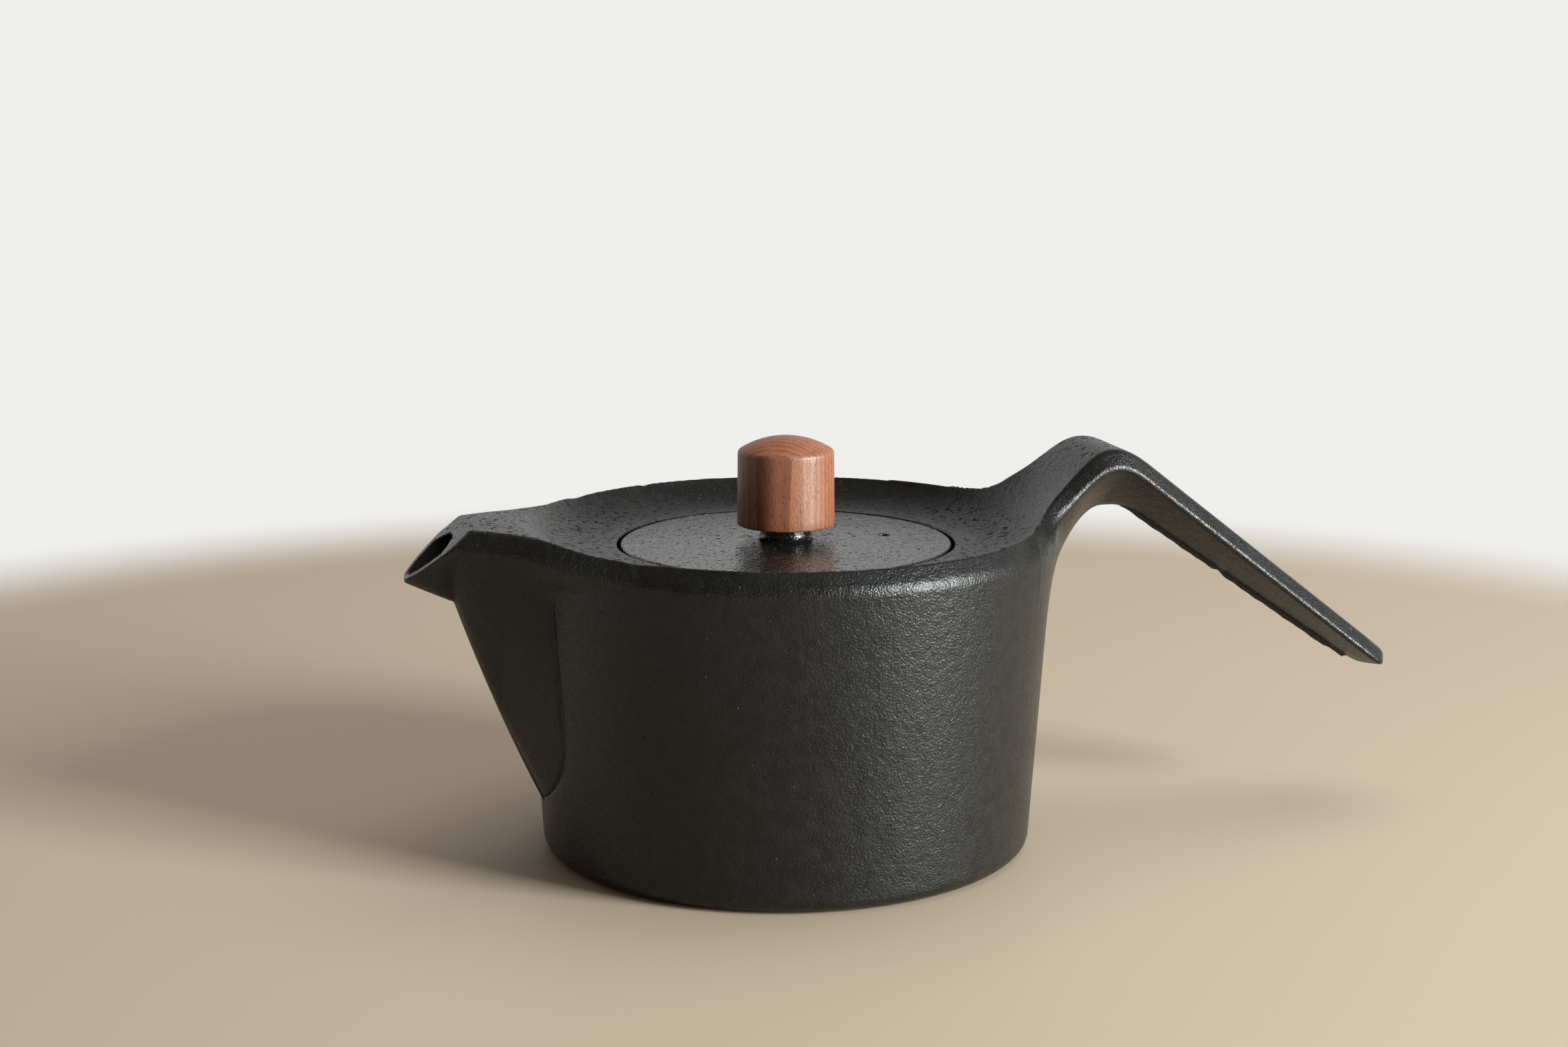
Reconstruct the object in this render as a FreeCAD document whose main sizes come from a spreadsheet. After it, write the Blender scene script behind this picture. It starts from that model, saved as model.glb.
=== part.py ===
import FreeCAD, Part
import math
import os

import Sketcher
from FreeCAD import Placement, Rotation, Vector

# Cast iron teapot with a side handle, a flush lid and a removable tea strainer.
# Millimetres and degrees. +Z is up, +X points to the handle, -X to the spout,
# and the origin is the centre of the flat base.

# Driving dimensions
SIZES = {
    # Bowl
    "base_radius": 60.0,
    "base_round": 3.2,
    "wall_flare": 5.2,
    "wall_thickness": 4.0,
    "floor_thickness": 4.5,
    "floor_corner": 7.0,
    # Deck, rim and the band that runs round the whole edge
    "lid_level": 75.0,
    "ring_width": 6.7,
    "ramp_angle": 45.0,
    "band_run": 3.6,
    "band_drop": 4.4,
    # Spout
    "spout_length": 16.9,
    "spout_deck_run": 25.0,
    "spout_root_width": 58.0,
    "spout_mouth_width": 21.2,
    "spout_waist": 1.6,
    "mouth_rise": 2.5,
    "mouth_overhang": 14.6,
    "mouth_drop": 12.4,
    "lip_run": 11.4,
    "lip_fall": 6.6,
    "lip_thickness": 1.4,
    "keel_foot": 13.5,
    "keel_belly": 2.0,
    "keel_width": 5.0,
    "spout_fullness": 3.4,
    "beak_width": 21.4,
    "channel_root_width": 22.0,
    "channel_mouth_width": 15.2,
    "channel_roof": 3.1,
    "channel_floor": 2.6,
    "channel_sill": 32.0,
    # Handle
    "ramp_length": 16.2,
    "hump_radius": 12.0,
    "hump_depth": 15.4,
    "arch_curve": 0.075,
    "arch_offset": 1.5,
    "root_flare": 7.2,
    "root_flare_length": 10.0,
    "root_keel_width": 15.0,
    "grip_angle": 37.7,
    "grip_length": 83.4,
    "grip_width": 22.0,
    "grip_end_width": 18.0,
    "grip_depth": 11.0,
    "grip_end_depth": 6.6,
    "grip_keel_width": 4.4,
    "grip_nose": 10.0,
    # Lid
    "lid_radius": 40.5,
    "lid_clearance": 0.8,
    "lid_thickness": 3.2,
    "lid_edge_round": 0.7,
    "lid_skirt_depth": 5.0,
    "lid_skirt_thickness": 2.8,
    "boss_radius": 6.2,
    "boss_height": 4.3,
    "vent_radius": 1.4,
    "vent_distance": 25.0,
    # Knob and its fixing
    "knob_radius": 11.75,
    "knob_taper": 0.2,
    "knob_height": 18.3,
    "knob_dome": 3.4,
    "knob_shoulder": 2.2,
    "insert_radius": 3.6,
    "insert_length": 11.0,
    "screw_radius": 2.0,
    "screw_length": 16.0,
    "screw_hole_clearance": 0.3,
    "head_radius": 3.9,
    "head_height": 2.6,
    "slot_width": 1.0,
    "slot_depth": 1.1,
    "washer_radius": 5.0,
    "washer_thickness": 0.8,
    # Strainer
    "basket_radius": 35.0,
    "basket_depth": 40.0,
    "mesh_thickness": 0.6,
    "sheet_thickness": 0.7,
    "flange_thickness": 0.8,
    "collar_depth": 7.0,
    "hem_height": 4.0,
    "hem_lip": 4.0,
    "mouth_clearance": 0.8,
    "ledge_thickness": 3.5,
}


class Size:
    """A length kept with the sheet formula that drives it."""

    def __init__(self, text, value):
        self.text = text
        self.value = value

    def __add__(self, other):
        other = as_size(other)
        return Size("(%s + %s)" % (self.text, other.text), self.value + other.value)

    def __sub__(self, other):
        other = as_size(other)
        return Size("(%s - %s)" % (self.text, other.text), self.value - other.value)

    def __mul__(self, other):
        other = as_size(other)
        return Size("(%s * %s)" % (self.text, other.text), self.value * other.value)

    def __truediv__(self, other):
        other = as_size(other)
        return Size("(%s / %s)" % (self.text, other.text), self.value / other.value)

    def __neg__(self):
        return Size("(0 - %s)" % self.text, -self.value)

    def __rsub__(self, other):
        return as_size(other) - self

    __radd__ = __add__
    __rmul__ = __mul__


def as_size(item):
    """A bare number as a Size."""
    return item if isinstance(item, Size) else Size("(%r)" % float(item), float(item))


def square_root(item):
    return Size("sqrt(%s)" % item.text, math.sqrt(item.value))


def exponential(item):
    return Size("exp(%s)" % item.text, math.exp(item.value))


def sine(item):
    return Size("sin(%s)" % item.text, math.sin(math.radians(item.value)))


def cosine(item):
    return Size("cos(%s)" % item.text, math.cos(math.radians(item.value)))


def blend(start, end, share):
    """The size that lies a share of the way from start to end."""
    return start + (end - start) * share


ZERO = as_size(0.0)

doc = FreeCAD.newDocument("teapot")
sheet = doc.addObject("Spreadsheet::Sheet", "sizes")
for row, (alias, number) in enumerate(SIZES.items(), start=1):
    sheet.set("A%d" % row, alias)
    sheet.set("B%d" % row, str(number))
    sheet.setAlias("B%d" % row, alias)
doc.recompute()


def size(alias):
    """One driving dimension, read from the sheet."""
    return Size("sizes.%s" % alias, float(sheet.get(alias)))


# Heights and radii that several pieces share
dish_floor = size("lid_radius") + size("lid_clearance") + size("ring_width")
shoulder_radius = size("base_radius") + size("wall_flare")
rim_radius = shoulder_radius - size("band_run")
dish_radius = (rim_radius - dish_floor) / sine(size("ramp_angle"))
ramp_slope = sine(size("ramp_angle")) / cosine(size("ramp_angle"))
rim_height = size("lid_level") + dish_radius * (1.0 - cosine(size("ramp_angle")))
shoulder_height = rim_height - size("band_drop")
seat_radius = size("lid_radius") + size("lid_clearance")
lid_underside = size("lid_level") - size("lid_thickness")
ledge_height = lid_underside - size("flange_thickness")
collar_radius = size("basket_radius") + size("sheet_thickness")
mouth_radius = collar_radius + size("mouth_clearance")
knob_base = size("lid_level") + size("boss_height")
sky = rim_height + 60.0


def wall_radius(height):
    """Outer radius of the bowl at a height."""
    return size("base_radius") + size("wall_flare") * height / shoulder_height


def new_body(label):
    body = doc.addObject("PartDesign::Body", label)
    body.Label = label
    return body


def origin_plane(body, role):
    return [f for f in body.Origin.OriginFeatures if f.Role == role][0]


def drive(sketch, constraint, target):
    """Add a constraint and bind it to its formula."""
    index = sketch.addConstraint(constraint)
    sketch.setExpression("Constraints[%d]" % index, target.text)


def locate(sketch, geometry, end, point):
    """Hold a sketch point at its distances from the sketch origin."""
    across, up = point
    drive(sketch, Sketcher.Constraint("DistanceX", -1, 1, geometry, end, across.value), across)
    drive(sketch, Sketcher.Constraint("DistanceY", -1, 1, geometry, end, up.value), up)


def outline(body, name, role, corners, bends=None, offset=None):
    """Closed sketch through the corners; side i is an arc through bends[i] where given."""
    bends = bends or {}
    sketch = body.newObject("Sketcher::SketchObject", name)
    sketch.AttachmentSupport = [(origin_plane(body, role), "")]
    sketch.MapMode = "FlatFace"
    if offset is not None:
        sketch.AttachmentOffset = Placement(Vector(0, 0, offset.value), Rotation())
        sketch.setExpression("AttachmentOffset.Base.z", offset.text)
    points = [Vector(across.value, up.value, 0) for across, up in corners]
    starts, ends = [], []
    for i, start in enumerate(points):
        end = points[(i + 1) % len(points)]
        forward = True
        if i in bends:
            middle = Vector(bends[i][0].value, bends[i][1].value, 0)
            forward = (middle - start).cross(end - middle).z > 0
            curve = Part.Arc(start, middle, end) if forward else Part.Arc(end, middle, start)
        else:
            curve = Part.LineSegment(start, end)
        index = sketch.addGeometry(curve, False)
        starts.append((index, 1 if forward else 2))
        ends.append((index, 2 if forward else 1))
    for i, (index, side) in enumerate(starts):
        before, far_side = ends[i - 1]
        sketch.addConstraint(Sketcher.Constraint("Coincident", before, far_side, index, side))
        locate(sketch, index, side, corners[i])
    for i, bend in bends.items():
        middle = Vector(bend[0].value, bend[1].value, 0)
        point = sketch.addGeometry(Part.Point(middle), True)
        locate(sketch, point, 1, bend)
        arc = starts[i][0]
        sketch.addConstraint(Sketcher.Constraint("PointOnObject", point, 1, arc))
    return sketch


def disc(body, name, role, radius, centre, offset=None):
    """Sketch of one circle, centred at a distance along the first axis of the sketch."""
    sketch = body.newObject("Sketcher::SketchObject", name)
    sketch.AttachmentSupport = [(origin_plane(body, role), "")]
    sketch.MapMode = "FlatFace"
    if offset is not None:
        sketch.AttachmentOffset = Placement(Vector(0, 0, offset.value), Rotation())
        sketch.setExpression("AttachmentOffset.Base.z", offset.text)
    circle = Part.Circle(Vector(centre.value, 0, 0), Vector(0, 0, 1), radius.value)
    index = sketch.addGeometry(circle, False)
    drive(sketch, Sketcher.Constraint("Radius", index, radius.value), radius)
    locate(sketch, index, 3, (centre, ZERO))
    return sketch


def turn(body, kind, name, corners, bends=None):
    """Revolution or Groove of an outline in the XZ plane about the Z axis."""
    sketch = outline(body, name + "_profile", "XZ_Plane", corners, bends)
    feature = body.newObject("PartDesign::" + kind, name)
    feature.Profile = sketch
    feature.ReferenceAxis = (sketch, ["V_Axis"])
    feature.Angle = 360.0
    return feature


def loft(body, kind, name, sections):
    """AdditiveLoft or SubtractiveLoft through section sketches."""
    feature = body.newObject("PartDesign::" + kind, name)
    feature.Profile = sections[0]
    feature.Sections = sections[1:]
    feature.Ruled = False
    feature.Closed = False
    feature.Refine = False
    return feature


def hull_section(body, name, along, keel, side, top, bulge):
    """Upright section of a keeled hull, as (half width, height) pairs from keel to top."""
    corners = [keel, side, top, (-top[0], top[1]), (-side[0], side[1]), (-keel[0], keel[1])]
    middle_across = (keel[0] + side[0]) * 0.5 + bulge
    middle_up = (keel[1] + side[1]) * 0.5 - bulge * 0.5
    bends = {
        0: (middle_across, middle_up),
        4: (-middle_across, middle_up),
        5: (ZERO, keel[1] - keel[0] * 0.4),
    }
    return outline(body, name, "YZ_Plane", corners, bends, offset=along)


def banded_section(body, name, along, deck, band, keel, bulge):
    """Hull section whose deck edge carries the band, carried on above the deck to be trimmed."""
    half, height = deck
    run, drop = band
    side = (half + run, height - drop)
    top = (half - run * 0.3, height + drop * 0.3)
    return hull_section(body, name, along, keel, side, top, bulge)


# Pot casting: bowl, spout, rim and handle in one pour

mouth_reach = rim_radius + size("spout_length")
spout_start = mouth_reach - size("spout_deck_run")
tip_reach = mouth_reach + size("mouth_overhang")
mouth_height = rim_height + size("mouth_rise")
tip_height = mouth_height - size("mouth_drop")
lip_reach = tip_reach - size("lip_run")
lip_height = tip_height - size("lip_fall")
foot_reach = wall_radius(size("keel_foot"))


def spout_keel(reach):
    """Height of the spout's keel: a line from foot to lip with a slight belly."""
    share = (reach - foot_reach) / (lip_reach - foot_reach)
    line = blend(size("keel_foot"), lip_height, share)
    return line - 4.0 * size("keel_belly") * share * (1.0 - share)


def spout_deck(reach):
    """Half width and height of the spout's deck edge at a reach from the axis."""
    share = (reach - spout_start) / size("spout_deck_run")
    half = blend(size("spout_root_width"), size("spout_mouth_width"), share) * 0.5
    half = half - 4.0 * size("spout_waist") * share * (1.0 - share)
    height = rim_height + size("mouth_rise") * share * (2.0 - share)
    return half, height


def buried_section(body, index, share):
    """Section of the spout's root inside the bowl, share 0 where the deck starts and 1 at the foot."""
    reach = blend(spout_start, foot_reach, as_size(share))
    keel = (size("keel_width") * 0.5, size("keel_foot") * 0.4)
    band = (size("band_run"), size("band_drop"))
    name = "buried_section_%d" % index
    return banded_section(body, name, -reach, spout_deck(reach), band, keel, size("spout_fullness"))


def blade_section(body, index, share):
    """Section of the keeled part of the spout, share 0 at the foot and 1 at the lip."""
    reach = blend(foot_reach, lip_reach, as_size(share))
    keel = (size("keel_width") * 0.5, spout_keel(reach) + size("keel_width") * 0.2)
    band = (size("band_run"), size("band_drop"))
    bulge = size("spout_fullness") * (1.0 - share) + 0.3
    name = "blade_section_%d" % index
    return banded_section(body, name, -reach, spout_deck(reach), band, keel, bulge)


def beak_section(body, index, share):
    """Section of the pouring lip beyond the keel's corner."""
    reach = blend(lip_reach, tip_reach, as_size(share))
    deck = (size("beak_width") * 0.5 - size("band_run"), mouth_height)
    floor = blend(lip_height, tip_height - size("lip_thickness"), as_size(share))
    keel = (size("keel_width") * 0.5, floor + size("keel_width") * 0.2)
    band = (size("band_run"), size("band_drop"))
    return banded_section(body, "beak_section_%d" % index, -reach, deck, band, keel, as_size(1.2))


def add_spout(body):
    blade = [buried_section(body, i, share) for i, share in enumerate((0.0, 0.5))]
    blade += [blade_section(body, i, share) for i, share in enumerate((0.1, 0.4, 0.7, 1.0))]
    loft(body, "AdditiveLoft", "spout_blade", blade)
    beak = [blade_section(body, 9, 1.0)]
    beak += [beak_section(body, i, share) for i, share in enumerate((0.5, 1.2))]
    loft(body, "AdditiveLoft", "spout_beak", beak)


def channel_section(body, name, reach, half, floor, roof):
    """Section of the pouring channel."""
    keel = (size("keel_width") * 0.25, floor)
    side = (half, blend(floor, roof, as_size(0.8)))
    top = (half - size("band_run"), roof)
    return hull_section(body, name, -reach, keel, side, top, as_size(0.6))


def cut_channel(body):
    root = size("channel_root_width") * 0.5
    mouth = size("channel_mouth_width") * 0.5
    middle = blend(rim_radius, lip_reach, as_size(0.5))
    roof_end = mouth_height - size("channel_roof")
    inner = rim_radius - size("wall_thickness") * 3.5
    stations = [
        (inner, root, size("channel_sill"), ledge_height - 1.0),
        (rim_radius, root, size("channel_sill") + 1.5, rim_height - size("channel_roof") - 1.4),
        (middle, blend(root, mouth, as_size(0.5)),
         blend(size("channel_sill"), lip_height, as_size(0.45)), roof_end - 0.8),
        (lip_reach, mouth, lip_height + size("channel_floor"), roof_end),
        (blend(lip_reach, tip_reach, as_size(0.6)), mouth * 0.93,
         blend(lip_height, tip_height, as_size(0.6)) + size("channel_floor") * 0.6, roof_end),
        (blend(lip_reach, tip_reach, as_size(1.4)), mouth * 0.85,
         blend(lip_height, tip_height, as_size(1.4)) + size("channel_floor") * 0.4, roof_end),
    ]
    names = ["channel_section_%d" % i for i in range(len(stations))]
    inner_run = [channel_section(body, n, *s) for n, s in zip(names[:4], stations[:4])]
    loft(body, "SubtractiveLoft", "spout_channel", inner_run)
    beak_names = [n + "_lip" for n in names[3:]]
    lip_run = [channel_section(body, n, *s) for n, s in zip(beak_names, stations[3:])]
    loft(body, "SubtractiveLoft", "spout_lip_channel", lip_run)


hump_reach = (rim_radius + size("ramp_length") * cosine(size("ramp_angle"))
              + size("hump_radius") * sine(size("ramp_angle")))
hump_centre = (rim_height + size("ramp_length") * sine(size("ramp_angle"))
               - size("hump_radius") * cosine(size("ramp_angle")))
hump_top = hump_centre + size("hump_radius")
grip_reach = hump_reach + size("hump_radius") * sine(size("grip_angle"))
grip_height = hump_centre + size("hump_radius") * cosine(size("grip_angle"))
arch_height = hump_top - size("hump_depth")


def grip_point(distance):
    """Reach and height of the grip's deck at a distance along it."""
    reach = grip_reach + distance * cosine(size("grip_angle"))
    height = grip_height - distance * sine(size("grip_angle"))
    return reach, height


def root_section(body, index, reach):
    """Section of the handle between the rim and the top of the hump."""
    flare = size("root_flare") * exponential((rim_radius - reach) / size("root_flare_length"))
    half = size("grip_width") * 0.5 + flare
    corner = square_root(reach * reach + half * half)
    height = rim_height + (corner - rim_radius) * ramp_slope
    before = hump_reach - reach
    if before.value < size("hump_radius").value:
        over = hump_centre + square_root(size("hump_radius") * size("hump_radius") - before * before)
        height = over if over.value < height.value else height
    arch = before + size("arch_offset")
    sink = size("arch_curve") * arch * arch
    share = (hump_reach - reach) / (hump_reach - rim_radius)
    keel_half = blend(size("grip_keel_width"), size("root_keel_width"), share) * 0.5
    keel = (keel_half, arch_height - sink + keel_half * 0.4)
    band = (size("band_run"), size("band_drop"))
    return banded_section(body, "root_section_%d" % index, reach, (half, height), band, keel,
                          as_size(0.3))


def grip_section(body, index, share, shrink):
    """Section of the grip, at a share of its length and shrunk towards the nose."""
    distance = size("grip_length") * share
    reach, height = grip_point(distance)
    half = blend(size("grip_width"), size("grip_end_width"), as_size(share)) * (0.5 * shrink)
    depth = blend(size("grip_depth"), size("grip_end_depth"), as_size(share)) * shrink
    fall = depth / cosine(size("grip_angle"))
    keel_half = size("grip_keel_width") * (0.5 * shrink)
    keel = (keel_half, height - fall + keel_half * 0.4)
    drop = size("band_drop") * 0.9 / cosine(size("grip_angle"))
    band = (size("band_run") * shrink, drop * shrink)
    return banded_section(body, "grip_section_%d" % index, reach, (half, height), band, keel,
                          as_size(0.5))


def add_handle(body):
    steps = (-0.3, -0.1, 0.12, 0.35, 0.6, 0.85, 1.0)
    root = [root_section(body, i, blend(rim_radius, hump_reach, as_size(step)))
            for i, step in enumerate(steps)]
    grip = [grip_section(body, i, share, shrink)
            for i, (share, shrink) in enumerate(((0.07, 1.0), (0.35, 1.0), (0.7, 1.0), (0.9, 1.0),
                                                 (1.0, 0.86), (1.05, 0.5)))]
    loft(body, "AdditiveLoft", "handle", root + grip)


def trim_deck(body):
    """Cut the dish round the lid, the ramp to the handle and the top line of spout and handle."""
    angle = size("ramp_angle")
    half_angle = angle * 0.5
    outside = rim_radius + 40.0
    dish_bend = (dish_floor + dish_radius * sine(half_angle),
                 size("lid_level") + dish_radius * (1.0 - cosine(half_angle)))
    corners = [
        (ZERO, size("lid_level")),
        (dish_floor, size("lid_level")),
        (rim_radius, rim_height),
        (outside, rim_height + ramp_slope * 40.0),
        (outside, sky),
        (ZERO, sky),
    ]
    turn(body, "Groove", "dish", corners, {1: dish_bend})
    spout_middle = mouth_reach - size("spout_deck_run") * 0.5
    nose_reach, nose_height = grip_point(size("grip_length"))
    end_reach = nose_reach + size("grip_nose") * 0.45
    corners = [
        (-tip_reach, lip_height - 10.0),
        (-tip_reach, tip_height),
        (-mouth_reach, mouth_height),
        (-spout_start, rim_height),
        (-spout_start, sky - 10.0),
        (rim_radius, sky - 10.0),
        (hump_reach - size("hump_radius") * sine(angle),
         hump_centre + size("hump_radius") * cosine(angle)),
        (grip_reach, grip_height),
        (nose_reach, nose_height),
        (end_reach, nose_height - size("grip_nose") * 0.6),
        (end_reach, nose_height - size("grip_nose") * 2.0),
        (end_reach + 40.0, nose_height - size("grip_nose") * 2.0),
        (end_reach + 40.0, sky),
        (-(tip_reach + 20.0), sky),
        (-(tip_reach + 20.0), lip_height - 10.0),
    ]
    bends = {
        2: (-spout_middle, rim_height + size("mouth_rise") * 0.75),
        6: (hump_reach, hump_top),
        8: (nose_reach + size("grip_nose") * 0.32, nose_height - size("grip_nose") * 0.27),
    }
    sketch = outline(body, "top_line_profile", "XZ_Plane", corners, bends)
    pocket = body.newObject("PartDesign::Pocket", "top_line")
    pocket.Profile = sketch
    pocket.Type = "Length"
    pocket.Midplane = True
    pocket.setExpression("Length", (shoulder_radius * 4.0).text)
    pocket.Refine = False


def cut_cavity(body):
    """Hollow the bowl and cut the mouth with its ledge and the seat of the lid."""
    floor = size("floor_thickness")
    corner = size("floor_corner")
    thickness = size("wall_thickness")
    ceiling = ledge_height - size("ledge_thickness")
    crown = ledge_height + 1.5
    side = wall_radius(floor + corner) - thickness
    corners = [
        (ZERO, floor),
        (side - corner, floor),
        (side, floor + corner),
        (wall_radius(crown) - thickness, crown),
        (dish_floor, ceiling),
        (mouth_radius, ceiling),
        (mouth_radius, ledge_height),
        (seat_radius, ledge_height),
        (seat_radius, rim_height + 5.0),
        (ZERO, rim_height + 5.0),
    ]
    bend = (side - corner * 0.2929, floor + corner * 0.2929)
    turn(body, "Groove", "cavity", corners, {1: bend})


def pot_casting():
    body = new_body("pot_casting")
    over = 1.6
    corners = [
        (ZERO, ZERO),
        (size("base_radius"), ZERO),
        (shoulder_radius, shoulder_height),
        (shoulder_radius - size("band_run") * over, shoulder_height + size("band_drop") * over),
        (ZERO, shoulder_height + size("band_drop") * over),
    ]
    turn(body, "Revolution", "bowl", corners)
    doc.recompute()
    round_edges(body, "foot_round", "base_round", lambda edge: is_ring(edge, ZERO, size("base_radius")))
    add_spout(body)
    add_handle(body)
    trim_deck(body)
    cut_cavity(body)
    cut_channel(body)
    return body


def is_ring(edge, height, radius):
    """True for the full circle of a radius at a height on the Z axis."""
    curve = edge.Curve
    if not isinstance(curve, Part.Circle):
        return False
    return abs(curve.Center.z - height.value) < 1e-4 and abs(curve.Radius - radius.value) < 1e-4


def round_edges(body, name, alias, wanted):
    """Fillet the edges of the body's last feature that match a test."""
    base = body.Tip
    edges = ["Edge%d" % (i + 1) for i, edge in enumerate(base.Shape.Edges) if wanted(edge)]
    feature = body.newObject("PartDesign::Fillet", name)
    feature.Base = (base, edges)
    feature.setExpression("Radius", size(alias).text)
    feature.Radius = size(alias).value
    return feature


# Lid with its boss and skirt

def lid_plate():
    body = new_body("lid_plate")
    skirt = size("basket_radius") - size("mesh_thickness") - size("lid_clearance")
    skirt_inner = skirt - size("lid_skirt_thickness")
    bore = size("screw_radius") + size("screw_hole_clearance")
    corners = [
        (bore, lid_underside),
        (skirt_inner, lid_underside),
        (skirt_inner, lid_underside - size("lid_skirt_depth")),
        (skirt, lid_underside - size("lid_skirt_depth")),
        (skirt, lid_underside),
        (size("lid_radius"), lid_underside),
        (size("lid_radius"), size("lid_level")),
        (size("boss_radius") + 1.0, size("lid_level")),
        (size("boss_radius"), size("lid_level") + 1.0),
        (size("boss_radius"), knob_base),
        (bore, knob_base),
    ]
    bend = (size("boss_radius") + 0.2929, size("lid_level") + 0.2929)
    turn(body, "Revolution", "plate", corners, {7: bend})
    doc.recompute()
    round_edges(body, "edge_round", "lid_edge_round",
                lambda edge: is_ring(edge, size("lid_level"), size("lid_radius")))
    vent = disc(body, "vent_circle", "XY_Plane", size("vent_radius"), size("vent_distance"),
                offset=size("lid_level"))
    pocket = body.newObject("PartDesign::Pocket", "vent")
    pocket.Profile = vent
    pocket.Type = "Length"
    pocket.setExpression("Length", (size("lid_thickness") + size("lid_skirt_depth")).text)
    return body


# Wooden knob with the brass insert that its screw bites into

def lid_knob():
    body = new_body("lid_knob")
    radius = size("knob_radius")
    upper = radius - size("knob_taper")
    side_top = knob_base + size("knob_height")
    shoulder = size("knob_shoulder")
    crown = side_top + size("knob_dome")
    inner = upper - shoulder
    rise = shoulder * 0.8
    cap = size("knob_dome") - rise
    ball = (inner * inner + cap * cap) / (cap * 2.0)
    corners = [
        (size("insert_radius"), knob_base),
        (radius - 0.5, knob_base),
        (radius, knob_base + 0.5),
        (upper, side_top),
        (inner, side_top + rise),
        (ZERO, crown),
        (ZERO, knob_base + size("insert_length")),
        (size("insert_radius"), knob_base + size("insert_length")),
    ]
    bends = {
        3: (upper - shoulder * 0.3, side_top + rise * 0.7),
        4: (inner * 0.5, crown - ball + square_root(ball * ball - inner * inner * 0.25)),
    }
    turn(body, "Revolution", "turning", corners, bends)
    return body


def knob_insert():
    body = new_body("knob_insert")
    outer = size("insert_radius")
    groove = outer - 0.5
    length = size("insert_length")
    third = length / 3.0
    corners = [
        (size("screw_radius"), knob_base),
        (outer, knob_base),
        (outer, knob_base + third),
        (groove, knob_base + third + 0.5),
        (groove, knob_base + third * 2.0 - 0.5),
        (outer, knob_base + third * 2.0),
        (outer, knob_base + length),
        (size("screw_radius"), knob_base + length),
    ]
    turn(body, "Revolution", "sleeve", corners)
    return body


def knob_screw():
    body = new_body("knob_screw")
    seat = lid_underside - size("washer_thickness")
    head = size("head_radius")
    tip = seat + size("screw_length")
    shank = size("screw_radius")
    bottom = seat - size("head_height")
    corners = [
        (ZERO, bottom),
        (head * 0.6, bottom),
        (head, seat - size("head_height") * 0.4),
        (head, seat),
        (shank, seat),
        (shank, tip - 0.6),
        (shank - 0.6, tip),
        (ZERO, tip),
    ]
    bend = (head * 0.88, bottom + size("head_height") * 0.2)
    turn(body, "Revolution", "turned_blank", corners, {1: bend})
    doc.recompute()
    half = size("slot_width") * 0.5
    corners = [(-head, -half), (head, -half), (head, half), (-head, half)]
    slot = outline(body, "slot_profile", "XY_Plane", corners, offset=bottom)
    pocket = body.newObject("PartDesign::Pocket", "driver_slot")
    pocket.Profile = slot
    pocket.Type = "Length"
    pocket.Reversed = True
    pocket.setExpression("Length", size("slot_depth").text)
    return body


def screw_washer():
    body = new_body("screw_washer")
    bore = size("screw_radius") + size("screw_hole_clearance")
    bottom = lid_underside - size("washer_thickness")
    corners = [
        (bore, bottom),
        (size("washer_radius"), bottom),
        (size("washer_radius"), lid_underside),
        (bore, lid_underside),
    ]
    turn(body, "Revolution", "ring", corners)
    return body


# Strainer that hangs in the mouth under the lid

basket_floor = ledge_height - size("basket_depth")


def strainer_rim():
    body = new_body("strainer_rim")
    flange = seat_radius - size("mouth_clearance")
    corners = [
        (size("basket_radius"), ledge_height - size("collar_depth")),
        (collar_radius, ledge_height - size("collar_depth")),
        (collar_radius, ledge_height),
        (flange, ledge_height),
        (flange, lid_underside),
        (size("basket_radius"), lid_underside),
    ]
    turn(body, "Revolution", "pressed_ring", corners)
    return body


def strainer_wall():
    body = new_body("strainer_wall")
    inner = size("basket_radius") - size("mesh_thickness")
    corners = [
        (inner, basket_floor),
        (size("basket_radius"), basket_floor),
        (size("basket_radius"), lid_underside),
        (inner, lid_underside),
    ]
    turn(body, "Revolution", "mesh_tube", corners)
    return body


def strainer_floor():
    body = new_body("strainer_floor")
    radius = size("basket_radius") - size("mesh_thickness")
    corners = [
        (ZERO, basket_floor),
        (radius, basket_floor),
        (radius, basket_floor + size("mesh_thickness")),
        (ZERO, basket_floor + size("mesh_thickness")),
    ]
    turn(body, "Revolution", "mesh_disc", corners)
    return body


def strainer_hem():
    body = new_body("strainer_hem")
    sheet_gauge = size("sheet_thickness")
    corners = [
        (size("basket_radius") - size("hem_lip"), basket_floor - sheet_gauge),
        (collar_radius, basket_floor - sheet_gauge),
        (collar_radius, basket_floor + size("hem_height")),
        (size("basket_radius"), basket_floor + size("hem_height")),
        (size("basket_radius"), basket_floor),
        (size("basket_radius") - size("hem_lip"), basket_floor),
    ]
    turn(body, "Revolution", "rolled_ring", corners)
    return body


PIECES = [
    pot_casting(),
    lid_plate(),
    lid_knob(),
    knob_insert(),
    knob_screw(),
    screw_washer(),
    strainer_rim(),
    strainer_wall(),
    strainer_floor(),
    strainer_hem(),
]
doc.recompute()

# Every object has to be sound before anything is written
for item in doc.Objects:
    if "Invalid" in item.State or "Error" in item.State:
        raise RuntimeError("%s failed: %s" % (item.Label, item.State))
for piece in PIECES:
    if piece.Shape.isNull() or not piece.Shape.isValid() or len(piece.Shape.Solids) != 1:
        raise RuntimeError("%s is not one valid solid" % piece.Label)

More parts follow.
